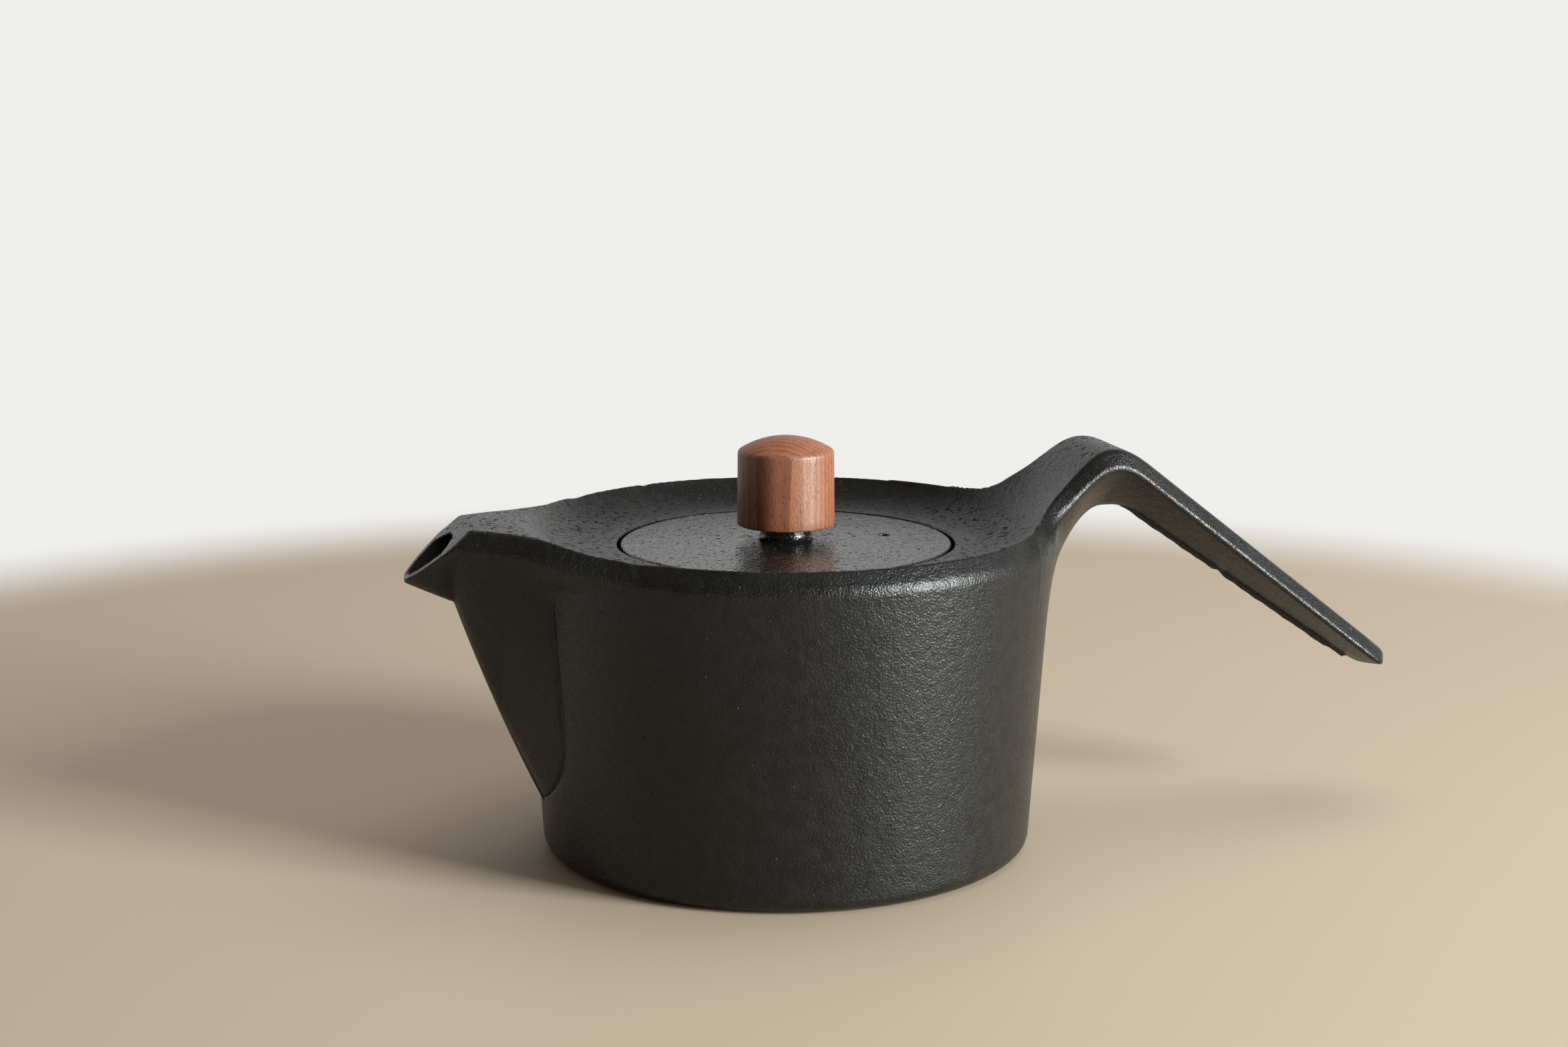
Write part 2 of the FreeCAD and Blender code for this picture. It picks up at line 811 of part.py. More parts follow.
os.makedirs("parts", exist_ok=True)
for piece in PIECES:
    piece.Shape.exportStep("parts/%s.step" % piece.Label)
    box = piece.Shape.BoundBox
    print("%-16s volume %10.1f  x %7.2f %7.2f  y %7.2f %7.2f  z %7.2f %7.2f" % (
        piece.Label, piece.Shape.Volume, box.XMin, box.XMax, box.YMin, box.YMax, box.ZMin, box.ZMax))
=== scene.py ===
# %% [markdown]
# # A cast iron teapot, worked out with numpy
#
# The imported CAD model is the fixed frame: metres, +Z up, +X towards the handle, -X towards the
# spout, and the origin at the centre of the flat base. The sizes below are in millimetres and turn into
# metres as the last step of each mesh.

import math
import types

import bpy
import numpy as np
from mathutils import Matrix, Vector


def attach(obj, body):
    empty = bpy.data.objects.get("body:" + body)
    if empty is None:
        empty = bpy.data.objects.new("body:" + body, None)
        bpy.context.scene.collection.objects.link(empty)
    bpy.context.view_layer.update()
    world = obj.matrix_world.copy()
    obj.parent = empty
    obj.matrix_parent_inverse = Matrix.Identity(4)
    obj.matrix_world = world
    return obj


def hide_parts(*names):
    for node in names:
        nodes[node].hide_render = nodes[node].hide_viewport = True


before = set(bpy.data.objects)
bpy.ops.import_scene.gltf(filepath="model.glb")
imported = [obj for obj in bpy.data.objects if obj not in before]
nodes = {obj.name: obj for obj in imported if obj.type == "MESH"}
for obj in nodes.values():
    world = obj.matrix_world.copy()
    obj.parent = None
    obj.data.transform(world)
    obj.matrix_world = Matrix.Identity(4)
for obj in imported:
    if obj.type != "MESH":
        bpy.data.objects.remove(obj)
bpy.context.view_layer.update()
MM = 0.001

# %% [markdown]
# ## Camera
# The view comes first, so that every later step can be compared with the photograph. The picture is
# 2348 pixels wide and the fitted focal length is 3850 pixels, which is a 59 mm lens on a 36 mm sensor.
# The camera looks slightly down on the front of the pot, a little from the spout's side.

# %% Camera at the photograph's place
CAMERA_AT = (-0.1490, -0.5987, 0.1987)
CAMERA_LOOKS = (0.2364, 0.9529, -0.1900)
FOCAL_SHARE = 3850 / 2348


def placed(name, data):
    """A new object with the given data, linked into the scene."""
    item = bpy.data.objects.new(name, data)
    bpy.context.scene.collection.objects.link(item)
    return item


def aim(item, at, direction):
    """Puts a camera or lamp at a place and turns it to look in a direction."""
    item.location = at
    item.rotation_mode = "QUATERNION"
    item.rotation_quaternion = Vector(direction).normalized().to_track_quat("-Z", "Y")


camera_data = bpy.data.cameras.new("camera")
camera_data.sensor_width = 36.0
camera_data.lens = 36.0 * FOCAL_SHARE
camera_data.clip_start = 0.01
camera = placed("camera", camera_data)
aim(camera, CAMERA_AT, CAMERA_LOOKS)
bpy.context.scene.camera = camera
bpy.context.scene.view_settings.view_transform = "Standard"

# %% [markdown]
# ## Meshes from arrays
# Every new piece ends as one array of points and one array of faces. A small helper hands both to
# Blender at once, so no loop over points is needed. Turned pieces such as the knob are a profile
# carried round the axis, and their corners are rounded with short arcs before they are turned.

# %% Helpers that put arrays into meshes
def add_piece(name, points_mm, faces, body, slot, nodes):
    """A mesh object from points in millimetres, riding on a body in place of CAD nodes."""
    mesh = bpy.data.meshes.new(name)
    mesh.from_pydata(np.asarray(points_mm) * MM, [], np.asarray(faces).tolist())
    mesh.polygons.foreach_set("use_smooth", np.full(len(mesh.polygons), True))
    mesh.update()
    piece = placed(name, mesh)
    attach(piece, body)
    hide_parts(*nodes)
    print("%-16s %6d points %6d faces" % (name, len(mesh.vertices), len(mesh.polygons)))
    return piece


def grid_faces(rows, columns, wrap_rows=False, wrap_columns=False):
    """Quads of a grid of points stored row by row, joined across the ends where wrapped."""
    i = np.arange(rows if wrap_rows else rows - 1)[:, None]
    j = np.arange(columns if wrap_columns else columns - 1)[None, :]
    i2, j2 = (i + 1) % rows, (j + 1) % columns
    quads = [i * columns + j, i * columns + j2, i2 * columns + j2, i2 * columns + j]
    return np.stack([q.ravel() for q in np.broadcast_arrays(*quads)], axis=1)


def unit(vectors):
    """The same directions with a length of one."""
    return vectors / np.linalg.norm(vectors, axis=1)[:, None]


def rounded_profile(corners, radii, steps=6):
    """Closed outline whose corners are arcs: each arc runs between the two points that lie its
    radius times the tangent of half the turn away from the corner, along both sides."""
    p = np.asarray(corners, float)
    radii = np.asarray(radii, float)
    back, ahead = unit(np.roll(p, 1, axis=0) - p), unit(np.roll(p, -1, axis=0) - p)
    inner = np.arccos(np.clip((back * ahead).sum(1), -1, 1))
    reach = (radii / np.tan(inner / 2))[:, None]
    centre = p + unit(back + ahead) * (radii / np.sin(inner / 2))[:, None]
    start, end = p + back * reach - centre, p + ahead * reach - centre
    turn = np.arctan2(start[:, 0] * end[:, 1] - start[:, 1] * end[:, 0], (start * end).sum(1))
    angle = turn[:, None] * np.linspace(0, 1, steps)[None, :]
    c, s = np.cos(angle), np.sin(angle)
    x = centre[:, :1] + c * start[:, :1] - s * start[:, 1:]
    y = centre[:, 1:] + s * start[:, :1] + c * start[:, 1:]
    return np.stack([x.ravel(), y.ravel()], axis=1)


def turned(profile, around, closed=True):
    """Points and faces of a profile of (radius, height) pairs carried round the Z axis."""
    angle = np.arange(around) / around * 2 * np.pi
    radius, height = profile[:, 0][None, :], profile[:, 1][None, :]
    points = np.stack(np.broadcast_arrays(radius * np.cos(angle)[:, None],
                                          radius * np.sin(angle)[:, None],
                                          height), axis=-1)
    faces = grid_faces(around, len(profile), wrap_rows=True, wrap_columns=closed)
    return points.reshape(-1, 3), faces


# %% [markdown]
# ## The casting
# Bowl, spout, rim and handle leave the mould as one piece of iron, and every edge of a sand casting is
# soft. Grids that only meet would show a seam at each joint, so this one piece is made another way.
# A field gives, for any point in space, its signed distance from the iron: below zero is inside. Forms are
# joined by taking the smaller of two distances and cut by taking the larger one, and a rounded
# version of "smaller" and "larger" leaves a fillet behind. The surface is where the field is zero.

# %% Rounded joining and cutting
def round_max(a, b, radius):
    """The larger of two distances, with the corner where both are near zero turned into an arc."""
    corner = np.hypot(np.maximum(a + radius, 0), np.maximum(b + radius, 0))
    return np.minimum(np.maximum(a, b), -radius) + corner


def round_min(a, b, radius):
    """The smaller of two distances, with a fillet in the valley where both are near zero."""
    valley = np.hypot(np.maximum(radius - a, 0), np.maximum(radius - b, 0))
    return np.maximum(np.minimum(a, b), radius) - valley


def ease(t):
    """Zero below 0, one above 1, and an S-shaped curve between."""
    t = np.clip(t, 0, 1)
    return t * t * (3 - 2 * t)


def bow(t):
    """Zero at 0 and at 1, one in the middle, and nothing outside."""
    return np.maximum(4 * t * (1 - t), 0) * (t > 0)


def slope(of, at, step=0.4):
    """Slope of a function, from two values a step each side."""
    return (of(at + step) - of(at - step)) / (2 * step)


# %% [markdown]
# The bowl is a cone that widens slightly, with a bevelled band at the top. Inside the rim the deck is a
# dish: flat round the lid, then an arc that climbs to 45 degrees and goes on as a cone, which becomes
# the handle's ramp.

# %% Bowl and dish
BASE_RADIUS, SHOULDER_RADIUS, RIM_RADIUS = 60.0, 65.2, 61.6
BAND_RUN, BAND_DROP = 3.6, 4.4
LID_LEVEL, DISH_FLOOR = 75.0, 48.0
S45 = math.sqrt(0.5)
DISH_BEND = (RIM_RADIUS - DISH_FLOOR) / S45
RIM_HEIGHT = LID_LEVEL + DISH_BEND * (1 - S45)
SHOULDER_HEIGHT = RIM_HEIGHT - BAND_DROP
FOOT_ROUND, SHOULDER_ROUND, BAND_ROUND, RIM_ROUND = 3.2, 1.1, 1.3, 0.8
WALL_LENGTH = math.hypot(SHOULDER_RADIUS - BASE_RADIUS, SHOULDER_HEIGHT)
WALL_OUT = SHOULDER_HEIGHT / WALL_LENGTH
WALL_UP = (BASE_RADIUS - SHOULDER_RADIUS) / WALL_LENGTH


def wall(radius, z):
    """Distance from the bowl's cone, straight from the base edge to the shoulder."""
    return (radius - BASE_RADIUS) * WALL_OUT + z * WALL_UP


def bowl(radius, z):
    """The cone, cut by the band's cone above and by the base below."""
    band = (radius - SHOULDER_RADIUS) * BAND_DROP + (z - SHOULDER_HEIGHT) * BAND_RUN
    band = band / math.hypot(BAND_RUN, BAND_DROP)
    return round_max(round_max(wall(radius, z), band, SHOULDER_ROUND), -z, FOOT_ROUND)


def dish(radius, z):
    """Height above the flat ring, then distance inside the arc's circle, then the 45 degree cone."""
    centre = LID_LEVEL + DISH_BEND
    arc = DISH_BEND - np.hypot(radius - DISH_FLOOR, z - centre)
    cone = (z - RIM_HEIGHT - (radius - RIM_RADIUS)) * S45
    outer = np.where(radius - DISH_FLOOR > centre - z, cone, arc)
    return np.where(radius < DISH_FLOOR, z - LID_LEVEL, outer)


# %% [markdown]
# Spout and handle are both keeled hulls, like a boat: at each station along them there is a deck of
# some half width and height, a bevelled band below its edge, and a side that runs in to a narrow keel.
# One class serves both, with the measures given as functions of the station.

# %% Hulls
U_SHARE, U_ROOT = 0.77, 0.12
FLARE_SHARE, FLARE_FROM, FLARE_RUN = 0.23, 0.82, 0.18


class Hull(types.SimpleNamespace):
    """A keeled hull along one axis. Every measure but keel_round is a function of the distance along it."""

    def width(self, along, z):
        """Half width of the side: a straight line from keel to band plus a bow in the middle. Where the
        hull is full, the line gives way to a U that widens at once, stands upright and flares on top."""
        keel_half = self.keel_half(along)
        low = self.keel(along) + 0.4 * keel_half
        high = self.deck(along) - self.drop(along)
        t = (z - low) / np.maximum(high - low, 2.0)
        full = U_SHARE * (1 - np.exp(-np.clip(t, 0, None) / U_ROOT))
        full = full + FLARE_SHARE * ease((t - FLARE_FROM) / FLARE_RUN)
        share = t + (full - t) * self.fullness(along) * (t > 0) * (t < 1)
        line = keel_half + (self.half(along) + self.run(along) - keel_half) * share
        return line + self.bulge(along) * bow(t)

    def side(self, along, y, z):
        """Sideways distance from the side, shortened by how much the side leans."""
        lean_along = np.clip(slope(lambda a: self.width(a, z), along), -4, 4)
        lean_up = np.clip(slope(lambda h: self.width(along, h), z), -4, 4)
        return (np.abs(y) - self.width(along, z)) / np.sqrt(1 + lean_along ** 2 + lean_up ** 2)

    def band(self, along, y, z):
        """Distance from the bevel that falls outwards from the deck's edge."""
        run, drop = self.run(along), self.drop(along)
        lean = drop * slope(self.half, along) + run * slope(self.deck, along)
        out = (np.abs(y) - self.half(along)) * drop + (z - self.deck(along)) * run
        return out / np.sqrt(run ** 2 + drop ** 2 + lean ** 2)

    def field(self, along, y, z):
        """Side and band, cut off along the keel's line."""
        below = (self.keel(along) - z) / np.sqrt(1 + slope(self.keel, along) ** 2)
        skin = round_max(self.side(along, y, z), self.band(along, y, z), BAND_ROUND)
        return round_max(skin, below, self.keel_round)


def steady(value):
    """A measure that stays the same along the hull."""
    return lambda along: value + 0 * along


# %% [markdown]
# The spout's keel rises from low on the wall to the corner under the lip. Beyond that corner a short
# beak carries the pouring lip. A slanting plane cuts the mouth open.

# %% Spout
MOUTH_REACH, SPOUT_START, TIP_REACH, LIP_REACH = 78.5, 53.5, 93.1, 81.7
MOUTH_RISE, MOUTH_OVERHANG, MOUTH_DROP = 2.5, 14.6, 12.4
MOUTH_HEIGHT = RIM_HEIGHT + MOUTH_RISE
TIP_HEIGHT = MOUTH_HEIGHT - MOUTH_DROP
LIP_HEIGHT = TIP_HEIGHT - 6.6
LIP_THICKNESS = 1.4
FOOT_HEIGHT = 13.5
FOOT_REACH = BASE_RADIUS + (SHOULDER_RADIUS - BASE_RADIUS) * FOOT_HEIGHT / SHOULDER_HEIGHT
ROOT_HALF, MOUTH_HALF, BEAK_HALF = 29.0, 10.6, 7.1
SPOUT_WAIST, BEAK_FROM, BEAK_RUN = 6.4, 79.5, 9.0
KEEL_BELLY, KEEL_HALF, KEEL_ROUND = 8.0, 2.5, 1.6
FULL_UNTIL, FULL_RUN = 71.0, 13.0
SPOUT_INNER, SPOUT_LOWEST = 51.0, 6.0


def spout_share(reach):
    return (reach - SPOUT_START) / (MOUTH_REACH - SPOUT_START)


def spout_half(reach):
    """Deck edge: a line from root to mouth with a waist, then an S-curve to the beak's width."""
    share = np.minimum(spout_share(reach), 1.13)
    half = ROOT_HALF + (MOUTH_HALF - ROOT_HALF) * share - SPOUT_WAIST * share * (1 - share)
    return half + (BEAK_HALF - half) * ease((reach - BEAK_FROM) / BEAK_RUN)


def spout_deck(reach):
    """Deck height: half a parabola that rises from the rim and levels out at the mouth."""
    share = np.clip(spout_share(reach), 0, 1)
    return RIM_HEIGHT + MOUTH_RISE * share * (2 - share)


def spout_keel(reach):
    """Keel height: a line with a slight belly up to the lip's corner, then the beak's line."""
    share = (reach - FOOT_REACH) / (LIP_REACH - FOOT_REACH)
    blade = FOOT_HEIGHT + (LIP_HEIGHT - FOOT_HEIGHT) * share - KEEL_BELLY * share * (1 - share)
    beak_share = (reach - LIP_REACH) / (TIP_REACH - LIP_REACH)
    beak = LIP_HEIGHT + (TIP_HEIGHT - LIP_THICKNESS - LIP_HEIGHT) * beak_share
    return np.where(reach < LIP_REACH, blade, beak)


def spout_bulge(reach):
    """A slight bow of the sides, a little more under the beak."""
    return 0.35 + ease((reach - LIP_REACH) / 5)


def spout_fullness(reach):
    """One at the wall, where the spout's outline is a U, and zero well before the lip."""
    return np.clip((FULL_UNTIL - reach) / FULL_RUN, 0, 1)


spout_hull = Hull(half=spout_half, deck=spout_deck, run=steady(BAND_RUN), drop=steady(BAND_DROP),
                  bulge=spout_bulge, fullness=spout_fullness,
                  keel=spout_keel, keel_half=steady(KEEL_HALF), keel_round=KEEL_ROUND)


def spout(x, y, z):
    """The spout's hull from just inside the wall outwards and above the base."""
    return np.maximum(spout_hull.field(-x, y, z), np.maximum(SPOUT_INNER + x, SPOUT_LOWEST - z))


def mouth_cut(x, z):
    """Height above the slanting plane of the mouth."""
    above = (-x - MOUTH_REACH) * MOUTH_DROP + (z - MOUTH_HEIGHT) * MOUTH_OVERHANG
    return above / math.hypot(MOUTH_DROP, MOUTH_OVERHANG)


# %% [markdown]
# The handle leaves the rim on the dish's 45 degree ramp, turns over a hump and falls in a straight grip
# with a blunt end. Underneath, a parabola makes the arch for the fingers.

# %% Handle
GRIP_ANGLE = math.radians(37.7)
GRIP_LENGTH = 85.4
HUMP_RADIUS, RAMP_LENGTH, RAMP_LIFT, HUMP_DEPTH = 11.0, 15.77, 1.6, 16.4
HUMP_X = RIM_RADIUS + (RAMP_LENGTH + HUMP_RADIUS) * S45
HUMP_Z = RIM_HEIGHT + RAMP_LIFT + (RAMP_LENGTH - HUMP_RADIUS) * S45
GRIP_X = HUMP_X + HUMP_RADIUS * math.sin(GRIP_ANGLE)
GRIP_Z = HUMP_Z + HUMP_RADIUS * math.cos(GRIP_ANGLE)
ARCH_Z = HUMP_Z + HUMP_RADIUS - HUMP_DEPTH
NOSE_START, NOSE_END, GRIP_END, END_ROUND = 149.0, 162.5, 160.0, 4.2
GRIP_HALF, HALF_TAPER, GRIP_DEPTH, DEPTH_TAPER = 11.0, 2.0, 11.0, 4.4
FLARE_HALF, FLARE_LENGTH = 7.2, 10.0
LIFT_FROM, LIFT_RUN, SOFT_WINDOW = 58.0, 10.0, 3.6
CONE_UNTIL, CONE_RUN = 62.0, 16.0
ARCH_CURVE, ARCH_SHIFT, ARCH_BLEND = 0.075, 1.5, 3.0
GRIP_KEEL_HALF, ROOT_KEEL_EXTRA, GRIP_KEEL_ROUND = 2.2, 5.3, 1.2
HANDLE_BULGE, HANDLE_DROP, HANDLE_INNER = 0.4, 0.6, 56.0


def grip_share(x):
    return np.clip((x - GRIP_X) / math.cos(GRIP_ANGLE) / GRIP_LENGTH, 0, 1.1)


def nose(x):
    """Narrows the grip along a blunt oval."""
    t = np.clip((x - NOSE_START) / (NOSE_END - NOSE_START), 0, 1)
    return np.sqrt(np.maximum(1 - t ** 2.5, 0.0004))


def stub(x):
    """Makes the end of the grip a little thinner."""
    return 1 - 0.2 * ease((x - NOSE_START) / (NOSE_END - NOSE_START))


def handle_half(x):
    """A grip that tapers slightly, plus a flare that dies away from the rim."""
    grip = (GRIP_HALF - HALF_TAPER * grip_share(x)) * nose(x)
    return grip + FLARE_HALF * np.exp((RIM_RADIUS - x) / FLARE_LENGTH)


def grip_line(x):
    return GRIP_Z - (x - GRIP_X) * math.tan(GRIP_ANGLE)


def grip_end(x, z):
    """Distance beyond the grip's end, which is square to its slope."""
    return (x - GRIP_END) * math.cos(GRIP_ANGLE) - (z - grip_line(GRIP_END)) * math.sin(GRIP_ANGLE)


def top_line(reach):
    """Height of the top along the middle: flat ring, dish arc, 45 degree ramp, hump arc, grip."""
    across = np.clip(reach - DISH_FLOOR, 0, DISH_BEND * S45)
    height = LID_LEVEL + DISH_BEND - np.sqrt(DISH_BEND ** 2 - across ** 2)
    height = np.where(reach > RIM_RADIUS, RIM_HEIGHT + reach - RIM_RADIUS, height)
    height = height + RAMP_LIFT * ease((reach - LIFT_FROM) / LIFT_RUN)
    hump = HUMP_Z + np.sqrt(np.clip(HUMP_RADIUS ** 2 - (reach - HUMP_X) ** 2, 0, None))
    height = np.where(reach > HUMP_X - HUMP_RADIUS * S45, hump, height)
    return np.where(reach > GRIP_X, grip_line(reach), height)


def soft_line(reach):
    """The same line averaged over a window that opens beyond the rim, so its bends flow together."""
    window = SOFT_WINDOW * ease((reach - LIFT_FROM) / LIFT_RUN)
    return sum(top_line(reach + share * window) for share in (-1, -0.5, 0, 0.5, 1)) / 5


def top_reach(x, y):
    """Distance from the axis near the rim, where the ramp is a cone, and plain x on the grip."""
    return np.hypot(x, y * (1 - ease((x - CONE_UNTIL) / CONE_RUN)))


def handle_deck(x):
    """Height of the top at its edge."""
    return soft_line(top_reach(x, handle_half(x)))


def handle_keel(x):
    """Underside: the lower of the arch's parabola and the grip's line, blended where they meet."""
    arch = ARCH_Z - ARCH_CURVE * np.maximum(HUMP_X + ARCH_SHIFT - x, 0) ** 2
    depth = (GRIP_DEPTH - DEPTH_TAPER * grip_share(x)) * stub(x) / math.cos(GRIP_ANGLE)
    line = grip_line(x) - depth
    m = np.clip(0.5 + 0.5 * (line - arch) / ARCH_BLEND, 0, 1)
    return line + (arch - line) * m - ARCH_BLEND * m * (1 - m)


def handle_keel_half(x):
    """Half width of the keel, broad at the wall and narrow under the grip."""
    towards_wall = np.clip((HUMP_X - x) / (HUMP_X - RIM_RADIUS), 0, 1.3)
    return GRIP_KEEL_HALF * np.sqrt(nose(x)) + ROOT_KEEL_EXTRA * towards_wall


handle_hull = Hull(half=handle_half, deck=handle_deck, run=lambda x: BAND_RUN * nose(x),
                   drop=lambda x: (BAND_DROP + HANDLE_DROP * ease((x - HUMP_X) / 10)) * stub(x),
                   bulge=steady(HANDLE_BULGE), fullness=steady(0.0),
                   keel=handle_keel, keel_half=handle_keel_half, keel_round=GRIP_KEEL_ROUND)


def handle(x, y, z):
    """The handle's hull from just inside the rim outwards."""
    return np.maximum(handle_hull.field(x, y, z), HANDLE_INNER - x)


def handle_top(x, y, z):
    """Height above the top, shortened by how much the top leans."""
    reach = top_reach(x, y)
    return (z - soft_line(reach)) / np.sqrt(1 + slope(soft_line, reach) ** 2)


# %% [markdown]
# Where the two halves of the mould met, a thin ragged fin is left along the keel of the grip.

# %% Moulding fin
FIN_FROM, FIN_TO, FIN_HALF, FIN_PROUD = 87.0, 150.0, 0.75, 0.8
FIN_NOTCH, FIN_STEP = 114.0, 144.0


def flash(x, y, z):
    """A strip below the keel whose depth is a product of two waves, with one notch and one step."""
    ragged = 0.9 + 0.16 * np.sin(1.1 * x) * np.sin(0.43 * x + 1.0)
    notch = 1 - 0.9 * np.exp(-((x - FIN_NOTCH) / 1.2) ** 2)
    step = 1 - 0.55 * ease((x - FIN_STEP) / 1.5)
    proud = FIN_PROUD * ease((x - FIN_FROM) / 5.0) * ragged * notch * step
    below = (handle_keel(x) - proud - z) / np.sqrt(1 + slope(handle_keel, x) ** 2)
    fin = round_max(np.abs(y) - FIN_HALF, below, 0.3)
    fin = np.maximum(fin, z - handle_keel(x) - 3.0)
    return np.maximum(fin, np.maximum(FIN_FROM - x, x - FIN_TO))


# %% [markdown]
# Inside, the bowl follows the wall at an even thickness. A ledge carries the strainer, and a wider seat
# above it takes the lid. The pouring channel runs from the bowl up through the spout.

# %% Hollows
WALL_THICKNESS, FLOOR_THICKNESS, FLOOR_CORNER = 4.0, 4.5, 7.0
LEDGE_HEIGHT, LEDGE_UNDERSIDE, MOUTH_RADIUS, SEAT_RADIUS = 71.0, 67.5, 36.5, 41.3
CHANNEL_REACH = np.array([47.6, 61.6, 71.65, 81.7, 88.54, 97.66])
CHANNEL_HALF = np.array([11.0, 11.0, 9.3, 7.6, 7.07, 6.46])
CHANNEL_FLOOR = np.array([32.0, 33.5, 46.5, 66.7, 69.6, 74.4])
CHANNEL_ROOF = np.array([70.0, 76.1, 79.2, 80.0, 80.0, 80.0])
CHANNEL_SLOPE = np.gradient(CHANNEL_FLOOR, CHANNEL_REACH)
CHANNEL_KEEL, CHANNEL_BOW, CHANNEL_CREST, ROOF_LEAN, SIDE_COSINE = 1.25, 0.6, 0.8, 14.4, 0.93
CEILING_SLOPE, MOUTH_FROM = 0.386, 60.0


def cavity(radius, z):
    """Inside of the bowl, the mouth and the lid's seat: a point in any of them is hollow."""
    inner = wall(radius, z) + WALL_THICKNESS * WALL_OUT
    ceiling = (z - LEDGE_UNDERSIDE - np.maximum(radius - DISH_FLOOR, 0) * CEILING_SLOPE) * SIDE_COSINE
    inside = round_max(inner, FLOOR_THICKNESS - z, FLOOR_CORNER)
    inside = round_max(inside, ceiling, 1.5)
    mouth = np.maximum(radius - MOUTH_RADIUS, MOUTH_FROM - z)
    seat = np.maximum(radius - SEAT_RADIUS, LEDGE_HEIGHT - z)
    return np.minimum(np.minimum(inside, mouth), seat)


def channel(x, y, z):
    """A keeled tunnel whose half width, floor and roof are read off along its length."""
    half, floor, roof, steep = (np.interp(-x, CHANNEL_REACH, row) for row in
                                (CHANNEL_HALF, CHANNEL_FLOOR, CHANNEL_ROOF, CHANNEL_SLOPE))
    t = (z - floor) / (CHANNEL_CREST * (roof - floor))
    side = CHANNEL_KEEL + (half - CHANNEL_KEEL) * t + CHANNEL_BOW * bow(t)
    width = np.where(t > 1, half - ROOF_LEAN * (t - 1), side)
    tunnel = round_max((np.abs(y) - width) * SIDE_COSINE, (floor - z) / np.sqrt(1 + steep ** 2), 0.8)
    return np.maximum(round_max(tunnel, z - roof, 1.5), CHANNEL_REACH[0] + x)


# %% [markdown]
# All forms meet in one field. The deck trims them on top: near the spout it is held down to the spout's
# own deck, and elsewhere the dish decides.

# %% The whole casting as one field
HANDLE_FROM, HANDLE_FILLET = 40.0, 5.0
CAP_SLACK, CAP_FROM, CAP_RUN, CAP_ROUND = 0.3, 60.0, 9.0, 2.2
CAP_OPENING, OPENS_FROM, OPENS_RUN = 4.0, 46.0, 14.0
CREASE_DEPTH, CREASE_TOP, CREASE_FADE, CREASE_FROM = 0.6, 70.0, 9.0, 50.0
CREASE_HALF, CREASE_WIDER = 0.12, 0.2
JOINT_FILLET, JOINT_OPENS, JOINT_WIDER = 0.3, 68.0, 7.0
CHIP_AT, CHIP_RADIUS = (-24.3, 56.6, 82.3), 2.4


def deck(x, y, z):
    """Everything above the top surface: dish, spout deck, mouth plane, ramp, hump and grip."""
    ring = dish(np.hypot(x, y), z)
    lift = CAP_SLACK * ease((CAP_FROM + x) / CAP_RUN) + CAP_OPENING * ease((x + OPENS_FROM) / OPENS_RUN)
    over_spout = round_max(ring, z - spout_deck(-x) - lift, CAP_ROUND)
    return round_max(np.where(x > HANDLE_FROM, handle_top(x, y, z), over_spout), mouth_cut(x, z), 0.5)


def casting(x, y, z):
    """Bowl, spout and handle joined with fillets, then trimmed on top and hollowed out. A fine groove
    follows the line where the spout's side meets the wall."""
    radius = np.hypot(x, y)
    body, beak = bowl(radius, z), spout(x, y, z)
    narrow = CREASE_HALF + CREASE_WIDER * ease((z - 20.0) / 40.0)
    crease = np.exp(-((body - beak) / narrow) ** 2) * ease((CREASE_TOP - z) / CREASE_FADE)
    crease = crease * ease((-x - CREASE_FROM) / 4.0)
    fillet = JOINT_FILLET + JOINT_WIDER * ease((z - JOINT_OPENS) / CREASE_FADE)
    iron = round_min(body, beak, fillet) + CREASE_DEPTH * crease
    iron = round_min(iron, handle(x, y, z), HANDLE_FILLET)
    iron = round_min(iron, flash(x, y, z), 0.3)
    iron = round_max(iron, deck(x, y, z), RIM_ROUND)
    iron = round_max(iron, -x - TIP_REACH, 0.5)
    iron = round_max(iron, grip_end(x, z), END_ROUND)
    iron = round_max(iron, -cavity(radius, z), 0.4)
    return round_max(iron, -channel(x, y, z), 0.6)


def chipped(x, y, z):
    """The casting with the small chip in its rim, which is on one side only."""
    ball = np.sqrt((x - CHIP_AT[0]) ** 2 + (y - CHIP_AT[1]) ** 2 + (z - CHIP_AT[2]) ** 2)
    return round_max(casting(x, y, z), CHIP_RADIUS - ball, 0.3)


# %% [markdown]
# The field becomes a mesh by surface nets. Space is divided into small cubes. Each cube that the
# surface passes through gets one point, at the mean of the places where the surface crosses its edges,
# and each crossed edge gets one quad between the four cubes round it. Then every point slides along the
# field's slope until it lies on the surface itself.

# %% Surface nets
CORNERS = np.array([(i, j, k) for i in (0, 1) for j in (0, 1) for k in (0, 1)])
EDGES = [(a, b) for a in range(8) for b in range(a + 1, 8) if np.abs(CORNERS[a] - CORNERS[b]).sum() == 1]


def sample(field, axes):
    """The field on the whole grid. Both sides of the casting are alike, so only one is worked out, in
    slabs along the first axis to save memory, and the other is its mirror image."""
    x, y, z = axes
    half = y[len(y) // 2:]
    slabs = [field(part[:, None, None], half[None, :, None], z[None, None, :]).astype(np.float32)
             for part in np.array_split(x, 16)]
    one_side = np.concatenate(slabs)
    return np.concatenate([one_side[:, :0:-1], one_side], axis=1)


